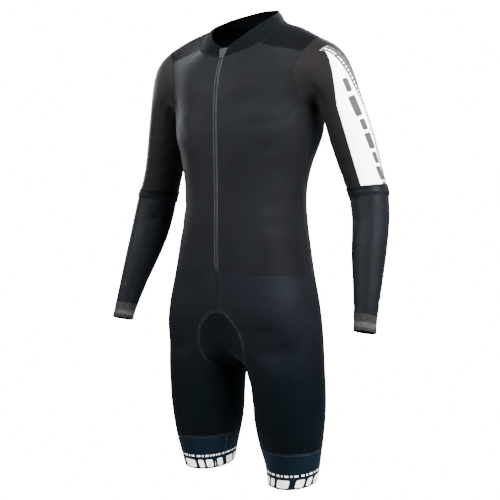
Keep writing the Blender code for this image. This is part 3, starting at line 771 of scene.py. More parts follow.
def add_piece(name, points, polygons, finish, nodes, places=None):
    """A shown piece of the suit, in metres, with its finish and the nodes it replaces."""
    mesh = bpy.data.meshes.new(name)
    mesh.from_pydata((np.array(points, float) * MM).tolist(), [], polygons)
    if places is not None:
        layer = mesh.uv_layers.new(name="cloth")
        flat = [value * MM for face in places for corner in face for value in corner]
        layer.data.foreach_set("uv", flat)
    mesh.polygons.foreach_set("use_smooth", [True] * len(mesh.polygons))
    mesh.materials.append(finish)
    made = link(name, mesh)
    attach(made, "root")
    if nodes:
        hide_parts(*nodes)
    return made


SHEEN_ROUGHNESS = 0.42
BUMP_STRENGTH = 0.7
LOOP_LEAN = 2.2


class Finish:
    """A cloth material made from nodes. Places on the cloth are in metres across and along its knit."""

    def __init__(self, name, roughness, sheen=0.0, specular=0.4, tint=(1, 1, 1)):
        self.material = bpy.data.materials.new(name)
        self.material.use_nodes = True
        self.tree = self.material.node_tree
        self.shader = self.tree.nodes["Principled BSDF"]
        self.shader.inputs["Roughness"].default_value = roughness
        self.shader.inputs["Sheen Weight"].default_value = sheen
        self.shader.inputs["Sheen Roughness"].default_value = SHEEN_ROUGHNESS
        self.shader.inputs["Sheen Tint"].default_value = (*tint, 1)
        self.shader.inputs["Specular IOR Level"].default_value = specular
        cloth = self.add("ShaderNodeUVMap")
        cloth.uv_map = "cloth"
        self.across, self.along, _ = self.split(cloth.outputs["UV"])
        self.spot = self.add("ShaderNodeTexCoord").outputs["Object"]

    def add(self, kind):
        return self.tree.nodes.new(kind)

    def join(self, start, end):
        if isinstance(start, (int, float)):
            end.default_value = start
        elif isinstance(start, tuple):
            end.default_value = (*start, 1)
        else:
            self.tree.links.new(start, end)

    def math(self, operation, *values):
        node = self.add("ShaderNodeMath")
        node.operation = operation
        for number, value in enumerate(values):
            self.join(value, node.inputs[number])
        return node.outputs[0]

    def times(self, first, second):
        return self.math("MULTIPLY", first, second)

    def less(self, first, second):
        return self.math("SUBTRACT", first, second)

    def split(self, place):
        node = self.add("ShaderNodeSeparateXYZ")
        self.join(place, node.inputs[0])
        return node.outputs["X"], node.outputs["Y"], node.outputs["Z"]

    def ribs(self, value, pitch):
        """Rounded ribs side by side, from 0 to 1."""
        return self.math("ABSOLUTE", self.math("SINE", self.times(value, math.pi / pitch)))

    def repeat(self, value, pitch):
        """From 0 to 1 over each repeat."""
        return self.math("FRACT", self.math("DIVIDE", value, pitch))

    def printed(self, colour, share, dark):
        """A printed colour that the loops darken a little."""
        return self.mix(self.times(self.loops, share), colour, scaled(colour, dark))

    def mix(self, share, first, second):
        node = self.add("ShaderNodeMix")
        node.data_type = "RGBA"
        self.join(share, node.inputs["Factor"])
        self.join(first, node.inputs["A"])
        self.join(second, node.inputs["B"])
        return node.outputs["Result"]

    def ease(self, value, low, high):
        """From 0 at low to 1 at high, smoothly."""
        node = self.add("ShaderNodeMapRange")
        node.interpolation_type = "SMOOTHSTEP"
        self.join(value, node.inputs["Value"])
        node.inputs["From Min"].default_value = low
        node.inputs["From Max"].default_value = high
        return node.outputs["Result"]

    def within(self, value, low, high, soft):
        """1 from low to high and 0 outside, with a soft edge."""
        return self.times(self.ease(value, low - soft, low + soft),
                          self.less(1.0, self.ease(value, high - soft, high + soft)))

    def noise(self, size, detail=2.0, stretch=None):
        """Uneven grey with patches of about this size in metres."""
        node = self.add("ShaderNodeTexNoise")
        node.inputs["Scale"].default_value = 1 / size
        node.inputs["Detail"].default_value = detail
        place = self.spot
        if stretch:
            turn = self.add("ShaderNodeMapping")
            turn.inputs["Scale"].default_value = stretch
            self.join(place, turn.inputs["Vector"])
            place = turn.outputs["Vector"]
        self.join(place, node.inputs["Vector"])
        return node.outputs["Fac"]

    def knit(self, wale, course):
        """Height of knitted loops, as rows of small chevrons, from 0 to 1."""
        rib = self.ribs(self.across, wale)
        wave = self.math("ADD", self.times(self.along, 2 * math.pi / course), self.times(rib, LOOP_LEAN))
        return self.times(rib, self.math("MULTIPLY_ADD", self.math("SINE", wave), 0.35, 0.65))

    def bump(self, height, depth):
        node = self.add("ShaderNodeBump")
        node.inputs["Strength"].default_value = BUMP_STRENGTH
        node.inputs["Distance"].default_value = depth
        self.join(height, node.inputs["Height"])
        self.join(node.outputs["Normal"], self.shader.inputs["Normal"])

    def colour(self, value):
        self.join(value, self.shader.inputs["Base Color"])

    def roughness(self, value):
        self.join(value, self.shader.inputs["Roughness"])


# Sizes in metres of the cloth's grain, its drift of colour and its uneven shine
GRAIN_SIZE = 0.0016
DRIFT_SIZE = 0.11
SHINE_SIZE = 0.05


def scaled(colour, factor):
    return tuple(value * factor for value in colour)


def knit_cloth(name, colour, roughness, sheen, wale=0.0011, course=0.0009, depth=0.00010, melange=0.16,
               specular=0.012, tint=(0.8, 0.9, 1.0), fade=0.25):
    """Stretch knit: fine chevron loops with a painted highlight on their crests, melange flecks, slight
    colour drift over the cloth and uneven shine.
    """
    finish = Finish(name, roughness, sheen, specular, tint)
    loops = finish.knit(wale, course)
    grain = finish.noise(GRAIN_SIZE, 1.0)
    drift = finish.ease(finish.noise(DRIFT_SIZE, 3.0), 0.3, 0.72)
    soft = finish.mix(drift, scaled(colour, 1 - fade * 0.6), scaled(colour, 1 + fade))
    fleck = finish.times(finish.ease(grain, 0.4, 0.75), melange)
    # Melange flecks are the yarn's own colour; the loop crests are painted lighter, a painted highlight on
    # the knit
    flecks_and_loop_highlight = finish.mix(finish.math("ADD", fleck, finish.times(loops, 0.10)), soft, scaled(colour, 2.4))
    finish.body = flecks_and_loop_highlight
    finish.colour(flecks_and_loop_highlight)
    finish.loops = loops
    finish.bump(loops, depth)
    shine = finish.ease(finish.noise(SHINE_SIZE, 2.0), 0.25, 0.75)
    finish.roughness(finish.math("MULTIPLY_ADD", shine, 0.10, roughness - 0.05))
    return finish


BODY_BLACK = (0.0025, 0.0027, 0.0032)
YOKE_BLACK = (0.0013, 0.0014, 0.0017)
COLLAR_BLACK = (0.0010, 0.0014, 0.0017)
SLEEVE_CHARCOAL = (0.0042, 0.0037, 0.0039)
FOREARM_BLACK = (0.0026, 0.0031, 0.0041)
SHORTS_BLACK = (0.0029, 0.0036, 0.0047)
# Painted shade: the shorts darken into this colour towards the bands
THIGH_PAINTED_SHADE = (0.0006, 0.0017, 0.0025)
PAD_BLACK = (0.0024, 0.0031, 0.0041)
BAND_BLACK = (0.0018, 0.0047, 0.0082)
MELANGE_DARK = (0.0045, 0.0047, 0.0049)
MELANGE_LIGHT = (0.022, 0.0225, 0.0225)
WHITE = (0.90, 0.90, 0.89)
PRINT_GREY = (0.028, 0.026, 0.027)
ZIP_TAPE_GREY = (0.012, 0.013, 0.014)
COIL_BLACK = (0.002, 0.0021, 0.0023)
GARAGE_GREY = (0.0105, 0.0100, 0.0130)
THREAD_DARK = (0.005, 0.0055, 0.0065)
THREAD_LIGHT = (0.040, 0.042, 0.045)
SLEEVE_ROUGHNESS = 0.46
SLEEVE_SHEEN = 0.022
SLEEVE_TINT = (1.0, 0.92, 0.98)
INSIDE_BLACK = (0.0007, 0.0008, 0.0009)


def rounded_bar(finish, over, up, half_width, half_height, radius):
    """Mask of one bar with round corners around the place where both distances are nothing."""
    sides = []
    for value, half in ((over, half_width), (up, half_height)):
        beyond = finish.less(finish.math("ABSOLUTE", value), half - radius)
        sides.append(finish.math("POWER", finish.math("MAXIMUM", beyond, 0.0), 2.0))
    corner = finish.math("SQRT", finish.math("ADD", *sides))
    return finish.less(1.0, finish.ease(corner, radius - PRINT_SOFT, radius + PRINT_SOFT))


def either(finish, masks):
    found = masks[0]
    for mask in masks[1:]:
        found = finish.math("MAXIMUM", found, mask)
    return found


# Generic print on the outer sleeve panel: upright grey bars, in millimetres across and up from the wrist
Bar = namedtuple("Bar", "across along half_width half_height")
SLEEVE_BARS = (
    Bar(26, 484, 6.5, 9),
    Bar(22, 452, 8.5, 17),
    Bar(16, 419, 7.0, 10),
    Bar(12, 388, 8.5, 15),
    Bar(8, 357, 7.0, 10),
    Bar(6, 328, 8.5, 14),
    Bar(3, 303, 7.0, 7),
)
BAR_LEAN = 0.16
# The white field lies between two lines that meet at the shoulder: rise of each line and where it starts
WHITE_REAR = (0.388, -175.9)
WHITE_REAR_LEAST = -2.0
WHITE_FRONT = (-0.342, 219.1)
GREY_STRIP_WIDTH = 17.0
GREY_STRIP_TOP = 550.0
GREY_STRIP_FOOT = 200.0
# Pale dashes in the strip: shares of a repeat with a soft edge, and a row in metres behind the white field
STRIP_DASH_PITCH = 5.6
STRIP_DASH = (0.15, 0.7, 0.06)
STRIP_DASH_ROW = (-0.0088, -0.0050, 0.0004)
# Round corners of the bars and soft edges of the prints, in metres
BAR_CORNER = 0.0035
BLOCK_CORNER = 0.004
FIELD_SOFT = 0.0003
PRINT_SOFT = 0.0004


def printed_sleeve(name, front_limit):
    """Charcoal knit with a white field that ends in a point, a grey strip behind it and grey bars."""
    finish = knit_cloth(name, SLEEVE_CHARCOAL, SLEEVE_ROUGHNESS, SLEEVE_SHEEN, tint=SLEEVE_TINT)
    across, along = finish.across, finish.along
    lines = [finish.math("MULTIPLY_ADD", along, rise, start * MM)
             for rise, start in (WHITE_REAR, WHITE_FRONT)]
    rear = finish.math("MAXIMUM", lines[0], WHITE_REAR_LEAST * MM)
    front = finish.math("MINIMUM", lines[1], front_limit * MM)
    past_rear = finish.less(across, rear)
    field = finish.times(finish.ease(past_rear, -FIELD_SOFT, FIELD_SOFT),
                         finish.ease(finish.less(front, across), -FIELD_SOFT, FIELD_SOFT))
    strip = finish.times(finish.within(past_rear, -GREY_STRIP_WIDTH * MM, 0.0, FIELD_SOFT),
                         finish.within(along, GREY_STRIP_FOOT * MM, GREY_STRIP_TOP * MM, 0.001))
    dashes = finish.times(finish.within(finish.repeat(along, STRIP_DASH_PITCH * MM), *STRIP_DASH),
                          finish.within(past_rear, *STRIP_DASH_ROW))
    bars = []
    for bar in SLEEVE_BARS:
        up = finish.less(along, bar.along * MM)
        over = finish.less(finish.less(across, bar.across * MM), finish.times(up, BAR_LEAN))
        bars.append(rounded_bar(finish, over, up, bar.half_width * MM, bar.half_height * MM, BAR_CORNER))
    white = finish.printed(WHITE, 0.12, 0.72)
    grey = finish.printed(PRINT_GREY, 0.2, 0.7)
    with_bars = finish.mix(either(finish, bars), white, grey)
    with_strip = finish.mix(finish.times(strip, finish.less(1.0, dashes)),
                            finish.mix(strip, finish.body, white), grey)
    finish.colour(finish.mix(field, with_strip, with_bars))
    return finish


# Generic print at the foot of each hem band, in millimetres up from the hem, and in shares of a repeat
# round the leg: pale rounded blocks, and a row of small uneven marks above them
BLOCK_PITCH = 104.0
BLOCKS = ((0.150, 11.0), (0.400, 7.5), (0.720, 17.0))
BLOCK_MIDDLE = 12.0
BLOCK_HALF_HEIGHT = 8.4
BLOCK_LEAN = 0.3
MARK_ROW = (27.2, 31.2)
MARK_PITCH = 62.0
MARKS = ((0.03, 0.15), (0.23, 0.29), (0.37, 0.53), (0.61, 0.68), (0.76, 0.91))
MARK_SOFT = 0.007


def band_cloth():
    """Elastic band: dark, with a row of pale blocks at its foot and small marks above them."""
    finish = knit_cloth("printed_elastic_band", BAND_BLACK, 0.5, 0.018, wale=0.0014, course=0.0011,
                        depth=0.00016, tint=(0.7, 0.8, 1.0))
    lean = finish.times(finish.along, BLOCK_LEAN)
    beat = finish.repeat(finish.less(finish.across, lean), BLOCK_PITCH * MM)
    up = finish.less(finish.along, BLOCK_MIDDLE * MM)
    prints = []
    for centre, half in BLOCKS:
        over = finish.times(finish.less(beat, centre), BLOCK_PITCH * MM)
        prints.append(rounded_bar(finish, over, up, half * MM, BLOCK_HALF_HEIGHT * MM, BLOCK_CORNER))
    tick = finish.repeat(finish.across, MARK_PITCH * MM)
    row = finish.within(finish.along, MARK_ROW[0] * MM, MARK_ROW[1] * MM, PRINT_SOFT)
    for start, end in MARKS:
        prints.append(finish.times(row, finish.within(tick, start, end, MARK_SOFT)))
    finish.colour(finish.mix(either(finish, prints), finish.body, finish.printed(WHITE, 0.2, 0.65)))
    return finish


# Generic paler marks on the melange cuffs, in millimetres round the wrist and up from the cuff's end
CUFF_MARK_PITCH = 11.0
CUFF_MARK_ROW = (8.0, 19.0)
CUFF_MARKS = ((0.08, 0.34), (0.48, 0.60), (0.74, 0.92))
CUFF_MARK_GREY = (0.055, 0.055, 0.055)
# Width of one rib in metres
CUFF_RIB = 0.0019
TAPE_RIB = 0.0007


def cuff_knit():
    """Melange rib knit with a row of paler upright marks."""
    finish = Finish("melange_rib_knit", 0.9, 0.008, 0.012)
    rib = finish.ribs(finish.across, CUFF_RIB)
    grain = finish.ease(finish.noise(0.0012, 2.0, (1, 1, 0.35)), 0.35, 0.68)
    yarn = finish.mix(grain, MELANGE_DARK, MELANGE_LIGHT)
    beat = finish.repeat(finish.across, CUFF_MARK_PITCH * MM)
    marks = either(finish, [finish.within(beat, start, end, 0.03) for start, end in CUFF_MARKS])
    row = finish.within(finish.along, CUFF_MARK_ROW[0] * MM, CUFF_MARK_ROW[1] * MM, 0.0005)
    patchy = finish.times(finish.times(marks, row), finish.math("MULTIPLY_ADD", grain, 0.5, 0.4))
    finish.colour(finish.mix(patchy, yarn, CUFF_MARK_GREY))
    finish.bump(finish.math("ADD", rib, finish.times(grain, 0.4)), 0.00035)
    return finish


# The forearm's turned hem looks darker over this height below its top edge, in millimetres
TURNED_HEM = 9.0
HEM_SOFT = 0.6
HEM_SHADE = 0.5
HEM_BLACK = (0.0007, 0.0009, 0.0013)
ELBOW_HEM_RING = 4


def forearm_cloth():
    top = (Vector(SLEEVES[ELBOW_HEM_RING][1:4]) - Vector(SLEEVES[-1][1:4])).length
    finish = knit_cloth("coated_forearm_knit", FOREARM_BLACK, 0.44, 0.014, depth=0.00008, specular=0.018,
                        tint=(0.75, 0.88, 1.0), fade=0.2)
    edge = top - TURNED_HEM
    hem = finish.ease(finish.along, (edge - HEM_SOFT) * MM, (edge + HEM_SOFT) * MM)
    finish.colour(finish.mix(finish.times(hem, HEM_SHADE), finish.body, HEM_BLACK))
    return finish


# The shorts get darker between these heights in metres, from the hips to the bands, as the photo's tones do
# This is painted shade: less light reaches the legs, so the knit is painted darker towards the bands
PAINTED_SHADE_FROM = -0.54
PAINTED_SHADE_TO = -0.80
PAINTED_SHADE_SHARE = 0.80


def shorts_cloth():
    """Dense stretch knit, with painted shade that darkens it down the thighs."""
    finish = knit_cloth("shorts_knit", SHORTS_BLACK, 0.50, 0.013, tint=(0.75, 0.84, 1.0))
    high = finish.ease(finish.split(finish.spot)[2], PAINTED_SHADE_TO, PAINTED_SHADE_FROM)
    # The share of painted shade grows from the hips down to the bands
    deep = finish.times(finish.less(1.0, high), PAINTED_SHADE_SHARE)
    finish.colour(finish.mix(deep, finish.body, THIGH_PAINTED_SHADE))
    return finish


def thread(name, colour):
    """Twisted thread: fine light and dark along its length."""
    finish = Finish(name, 0.6, 0.005, 0.025)
    grain = finish.ease(finish.noise(0.0007, 1.0), 0.35, 0.7)
    finish.colour(finish.mix(grain, scaled(colour, 0.65), scaled(colour, 1.35)))
    return finish


def tape_cloth():
    """Woven zip tape with fine lengthwise ribs."""
    finish = Finish("zip_tape_weave", 0.6, 0.005, 0.02)
    ribs = finish.ribs(finish.along, TAPE_RIB)
    drift = finish.noise(0.03, 2.0)
    tone = finish.mix(drift, scaled(ZIP_TAPE_GREY, 0.75), scaled(ZIP_TAPE_GREY, 1.3))
    finish.colour(finish.mix(finish.times(ribs, 0.3), tone, scaled(ZIP_TAPE_GREY, 0.45)))
    finish.bump(ribs, 0.00009)
    return finish


def coil_plastic():
    finish = Finish("zip_coil_plastic", 0.4, 0.0, 0.06)
    finish.colour(finish.mix(finish.noise(0.004, 2.0), scaled(COIL_BLACK, 0.8), scaled(COIL_BLACK, 1.8)))
    return finish


# Front seam of the outer sleeve panel, in millimetres across
PANEL_EDGE = 3 * SLEEVE_COLUMN_WIDTH

FINISHES = {
    "body_cloth": knit_cloth("torso_knit", BODY_BLACK, 0.52, 0.030),
    "yoke_cloth": knit_cloth("yoke_knit", YOKE_BLACK, 0.50, 0.008, specular=0.005),
    "collar_cloth": knit_cloth("collar_knit", COLLAR_BLACK, 0.60, 0.006, specular=0.005),
    "sleeve_cloth": knit_cloth("sleeve_knit", SLEEVE_CHARCOAL, SLEEVE_ROUGHNESS, SLEEVE_SHEEN,
                               tint=SLEEVE_TINT),
    "white_cloth": printed_sleeve("printed_panel_knit", PANEL_EDGE + 0.4),
    "forearm_cloth": forearm_cloth(),
    "cuff_knit": cuff_knit(),
    "shorts_cloth": shorts_cloth(),
    "pad_cloth": knit_cloth("seat_pad_brushed_knit", PAD_BLACK, 0.80, 0.01, wale=0.0016, course=0.0013,
                            depth=0.0002, specular=0.0),
    "band_cloth": band_cloth(),
    "zip": tape_cloth(),
    "garage_cloth": knit_cloth("garage_knit", GARAGE_GREY, 0.75, 0.02, melange=0.1, specular=0.03),
}
# The print's point runs on from the panel over the top of the left sleeve
LEFT_SLEEVE = printed_sleeve("printed_sleeve_knit", PANEL_EDGE - 0.4)
# The back of the knit is duller and darker than its face
INSIDE = knit_cloth("inside_knit", INSIDE_BLACK, 0.9, 0.0, melange=0.10, specular=0.0)
DARK_THREAD = thread("dark_thread", THREAD_DARK)
LIGHT_THREAD = thread("light_thread", THREAD_LIGHT)
COIL = coil_plastic()

# Sewn panels: node, faces, cloth thickness, finish and slot, flat width, length and area in metres, held by
Panel = namedtuple("Panel", "node faces thickness slot width length area hangs_from")
PANELS = (
    Panel("front_left", ["front_left"], CLOTH, "body_cloth", 0.20, 0.49, 0.0925, "yoke_left"),
    Panel("front_right", ["front_right"], CLOTH, "body_cloth", 0.20, 0.49, 0.0925, "yoke_right"),
    Panel("back", ["back"], CLOTH, "body_cloth", 0.43, 0.53, 0.2015, "yoke_left"),
    Panel("yoke_left", ["yoke_left"], CLOTH, "yoke_cloth", 0.10, 0.175, 0.0140, "collar"),
    Panel("yoke_right", ["yoke_right"], CLOTH, "yoke_cloth", 0.10, 0.175, 0.0140, "collar"),
    Panel("collar", ["collar"], COLLAR_CLOTH, "collar_cloth", 0.43, 0.045, 0.0186, "yoke_left"),
    Panel("sleeve_left", ["sleeve_left", "lap_left"], CLOTH, "sleeve_cloth", 0.28, 0.30, 0.0642, "yoke_left"),
    Panel("sleeve_panel_left", ["sleeve_panel_left"], CLOTH, "white_cloth", 0.09, 0.28, 0.0222,
          "sleeve_left"),
    Panel("sleeve_right", ["sleeve_right", "lap_right"], CLOTH, "sleeve_cloth", 0.33, 0.32, 0.0876,
          "yoke_right"),
    Panel("cuff_left", ["cuff_left"], CUFF_CLOTH, "cuff_knit", 0.152, 0.033, 0.0050, "forearm_left"),
    Panel("cuff_right", ["cuff_right"], CUFF_CLOTH, "cuff_knit", 0.152, 0.033, 0.0050, "forearm_right"),
    Panel("shorts_left", ["shorts_left"], CLOTH, "shorts_cloth", 0.46, 0.44, 0.1636, "front_left"),
    Panel("shorts_right", ["shorts_right"], CLOTH, "shorts_cloth", 0.46, 0.44, 0.1588, "front_right"),
    Panel("hem_band_left", ["hem_band_left"], BAND_CLOTH, "band_cloth", 0.385, 0.078, 0.0293, "shorts_left"),
    Panel("hem_band_right", ["hem_band_right"], BAND_CLOTH, "band_cloth", 0.385, 0.074, 0.0278,
          "shorts_right"),
)


def pad_thickness(form, faces):
    """The pad thickens from its sewn edge towards its middle."""
    rim = sorted(set(point for edge in rim_edges(form.quads[faces]) for point in edge))
    edge_points = form.points[rim]

    def thickness(point):
        distance = np.min(np.linalg.norm(edge_points - form.points[point], axis=1))
        share = min(distance / PAD_RAMP, 1.0)
        ease = share * share * (3 - 2 * share)
        return PAD_EDGE_THICKNESS + (PAD_MIDDLE_THICKNESS - PAD_EDGE_THICKNESS) * ease

    return thickness


def lap_lift(form, side_name):
    """The forearm's turned hem lies over the upper sleeve and comes down to the arm below it."""
    lapped = set(form.quads[face_numbers(form, ["lap_" + side_name])].ravel().tolist())

    def lift(point):
        return LAP_LIFT if int(point) in lapped else 0.0

    return lift


def two_sided(piece, faces_count):
    """The inner large faces of a shell and the inner half of its rounded edge get the back of the knit."""
    piece.data.materials.append(INSIDE.material)
    steps = len(EDGE_PROFILE) + 1
    for number, polygon in enumerate(piece.data.polygons):
        rim = number - 2 * faces_count
        if faces_count <= number and (rim < 0 or rim % steps >= steps / 2):
            polygon.material_index = 1


def shell_piece(form, name, node, faces, thickness, slot, finish=None, lift=0.0, roll=ROLL):
    points, polygons, places = panel_shell(form, faces, thickness, lift, roll)
    return add_piece(name, points, polygons, (finish or FINISHES[slot]).material, [node], places)


def build_panels(form):
    for panel in PANELS:
        faces = face_numbers(form, panel.faces)
        finish = LEFT_SLEEVE if panel.node == "sleeve_left" else None
        made = shell_piece(form, panel.node + "_shell", panel.node, faces, panel.thickness, panel.slot,
                           finish)
        two_sided(made, len(faces))
    for side_name, _ in SIDES:
        node = "forearm_" + side_name
        faces = face_numbers(form, [node, "lap_" + side_name])
        made = shell_piece(form, node + "_shell", node, faces, CLOTH, "forearm_cloth",
                           lift=lap_lift(form, side_name))
        two_sided(made, len(faces))
    faces = face_numbers(form, ["seat_pad"])
    pad = shell_piece(form, "seat_pad_shell", "seat_pad", faces, pad_thickness(form, faces), "pad_cloth")
    faces = face_numbers(form, ["zip_strip"])
    tape = shell_piece(form, "zip_tape", "zip_strip", faces, CLOTH, "zip", roll=ZIP_TAPE_ROLL)


def seam_lines(form):
    """Lines of points along each seam, keyed by the two panel names that meet there."""
    found = {}
    edge_panels = {}
    for quad, panel in zip(form.quads.tolist(), form.panels.tolist()):
        for a, b in zip(quad, quad[1:] + quad[:1]):
            edge_panels.setdefault((min(a, b), max(a, b)), []).append(panel)
    for (a, b), panels in edge_panels.items():
        if len(panels) == 2 and panels[0] != panels[1]:
            links = found.setdefault(tuple(sorted(panels)), {})
            links.setdefault(a, []).append(b)
            links.setdefault(b, []).append(a)
    lines = {}
    for pair, links in found.items():
        left = {point: list(others) for point, others in links.items()}
        starts = [point for point, others in left.items() if len(others) == 1] + list(left)
        for start in starts:
            while left[start]:
                line = [start]
                while left[line[-1]]:
                    after = left[line[-1]].pop()
                    left[after].remove(line[-1])
                    line.append(after)
                lines.setdefault(pair, []).append(line)
    return lines


# How far to each side a line's direction is taken, in millimetres
WAY_REACH = 1.0


def spaced(points, normals, pitch):
    """Places, directions and normals evenly spaced along a line."""
    steps = np.linalg.norm(np.diff(points, axis=0), axis=1)
    total = np.concatenate([[0], np.cumsum(steps)])
    count = max(int(total[-1] / pitch), 1)
    marks = (np.arange(count) + 0.5) * total[-1] / count

    def at(values, where):
        return np.array([np.interp(where, total, values[:, axis]) for axis in range(3)]).T

    up = at(normals, marks)
    up /= np.linalg.norm(up, axis=1, keepdims=True)
    along = at(points, np.minimum(marks + WAY_REACH, total[-1]))
    along -= at(points, np.maximum(marks - WAY_REACH, 0))
    along /= np.maximum(np.linalg.norm(along, axis=1, keepdims=True), 1e-9)
    return at(points, marks), along, up


# A stitch from end to end: share of its length, share of its width
STITCH_STATIONS = ((-0.5, 0.0), (-0.28, 0.85), (0.28, 0.85), (0.5, 0.0))
STITCH_SINK = 0.25


class Threads:
    """Many small stitches gathered in one mesh."""

    def __init__(self):
        self.points = []
        self.polygons = []

    def stitch(self, centre, along, up, length, width):
        side = np.cross(up, along)
        first = len(self.points)
        for share, wide in STITCH_STATIONS:
            middle = centre + along * (length * share)
            if wide == 0.0:
                self.points.append(middle - up * STITCH_SINK)
                continue
            half = width / 2 * wide
            for over, rise in ((-1, 0.1), (-0.5, 0.9), (0.5, 0.9), (1, 0.1), (0, -0.7)):
                self.points.append(middle + side * (over * half) + up * (rise * half))
        sides = 5
        start, one, two, end = first, first + 1, first + 1 + sides, first + 1 + 2 * sides
        for turn in range(sides):
            after = (turn + 1) % sides
            self.polygons.append([start, one + turn, one + after])
            self.polygons.append([one + turn, two + turn, two + after, one + after])
            self.polygons.append([two + turn, end, two + after])

    def row(self, points, normals, offset, pitch, length, width, lift=0.15):
        for place, way, rise in zip(*spaced(points, normals, pitch)):
            side = np.cross(rise, way)
            self.stitch(place + side * offset + rise * lift, way, rise, length, width)

    def piece(self, name, finish, nodes=()):
        return add_piece(name, self.points, self.polygons, finish.material, list(nodes))


# Stitch rows of a seam: offset from the seam, pitch, length and width, in millimetres
STITCH_PITCH = 3.0
STITCH_LENGTH = 2.5
STITCH_WIDTH = 0.62
SEAM_ROW = 1.7
PAD_ROW = 2.1


def panel_pair(pair, *starts):
    """True where each of the two panels of a seam starts with one of the given words, in either order."""
    first, second = starts
    return ((pair[0].startswith(first) and pair[1].startswith(second))
            or (pair[0].startswith(second) and pair[1].startswith(first)))


def sew(form):
    dark, light = Threads(), Threads()
    for pair, lines in sorted(seam_lines(form).items()):
        if "zip_strip" in pair or "sleeve_panel_left" in pair or panel_pair(pair, "lap_", ""):
            continue
        pale = "seat_pad" in pair or panel_pair(pair, "shorts_", "hem_band_")
        offset = PAD_ROW if "seat_pad" in pair else SEAM_ROW
        for line in lines:
            points, normals = form.points[line], form.normals[line]
            for sign in (-1, 1):
                (light if pale else dark).row(points, normals, sign * offset, STITCH_PITCH,
                                              STITCH_LENGTH, STITCH_WIDTH)
    sew_band_joins(form, light)
    sew_zip_edges(form, light)
    dark.piece("seam_stitches", DARK_THREAD)
    light.piece("pale_stitches", LIGHT_THREAD)


BAND_JOIN_ANGLE = 290
BAND_JOIN_STEPS = 14
BAND_JOIN_END = 2.0
BAND_TOP_RING, BAND_FOOT_RING = 3, 5
BAND_JOIN_OFFSET = 0.9
# Pitch, length, width and lift of the stitches in millimetres
BAND_JOIN_STITCH = (2.2, 1.9, 0.7, 0.1)
ZIP_STITCH = (2.6, 2.2, 0.55, 0.12)


def sew_band_joins(form, threads):
    """One upright seam on the inner side of each hem band."""
    tree = form_tree(form)
    angle = math.radians(BAND_JOIN_ANGLE)
    for _, side in SIDES:
        top, foot = THIGHS[BAND_TOP_RING], THIGHS[BAND_FOOT_RING]
        high = leg_height(top, BAND_JOIN_ANGLE, side)
        low = leg_height(foot, BAND_JOIN_ANGLE, side) + BAND_JOIN_END
        way = Vector((math.sin(angle) * side, -math.cos(angle), 0))
        points, normals = [], []
        for step in range(BAND_JOIN_STEPS):
            z = high + (low - high) * step / (BAND_JOIN_STEPS - 1)
            hit, normal, _, _ = tree.ray_cast(Vector((foot.x * side, foot.y, z)), way)
            if hit is not None:
                points.append(np.array(hit))
                normals.append(np.array(normal) * (1 if normal.dot(way) > 0 else -1))
        for offset in (-BAND_JOIN_OFFSET, BAND_JOIN_OFFSET):
            threads.row(np.array(points), np.array(normals), offset, *BAND_JOIN_STITCH)


def form_tree(form):
    return BVHTree.FromPolygons([Vector(point) for point in form.points], form.quads.tolist())


# A place in front of the whole suit
FRONT_FAR = -400


def front_hit(tree, x, z):
    """Point of the suit's front and its outward normal at one place seen from the front."""
    hit, normal, _, _ = tree.ray_cast(Vector((x, FRONT_FAR, z)), Vector((0, 1, 0)))
    if normal.y > 0:
        normal = -normal
    return np.array(hit), np.array(normal)


ZIP_HEIGHTS = (-40.0, -487.0)
ZIP_STITCH_ROW = 4.0
ZIP_STEP = 4.0


def sew_zip_edges(form, threads):
    """A row of stitches along each tape."""
    tree = form_tree(form)
    for sign in (-1, 1):
        found = [front_hit(tree, sign * ZIP_STITCH_ROW, z)
                 for z in np.arange(ZIP_HEIGHTS[0], ZIP_HEIGHTS[1], -ZIP_STEP)]
        points, normals = (np.array(values) for values in zip(*found))
        threads.row(points, normals, 0.0, *ZIP_STITCH)


COIL_PITCH = 1.45
# Each coil turn, in millimetres: length, width, place beside the middle, lift, and its slant
COIL_TOOTH_LENGTH = 1.9
COIL_TOOTH_WIDTH = 1.425
COIL_SIDE = 0.55
COIL_LIFT = 0.22
COIL_SLANT = 0.18
COIL_END = 3


def flat_way(slant, normal):
    """Direction across the zip that lies flat on the cloth."""
    across = np.array((1.0, 0.0, slant))
    across -= normal * across.dot(normal)
    return across / np.linalg.norm(across)


def zip_coil(form):
    """Two meshed rows of small rounded coil turns down the middle of the zip."""
    tree = form_tree(form)
    threads = Threads()
    z = ZIP_HEIGHTS[0]
    number = 0
    while z > ZIP_HEIGHTS[1] + COIL_END:
        side = 1 if number % 2 else -1
        point, normal = front_hit(tree, side * COIL_SIDE, z)
        threads.stitch(point + normal * COIL_LIFT, flat_way(COIL_SLANT * side, normal), normal,
                       COIL_TOOTH_LENGTH, COIL_TOOTH_WIDTH)
        z -= COIL_PITCH / 2
        number += 1
    add_piece("zip_coil", threads.points, threads.polygons, COIL.material, [])


# Faces across a patch, how sharply its edge turns down, and by what share of its thickness
PATCH_STEPS = 12
PATCH_EDGE = 8
PATCH_DROP = 0.55


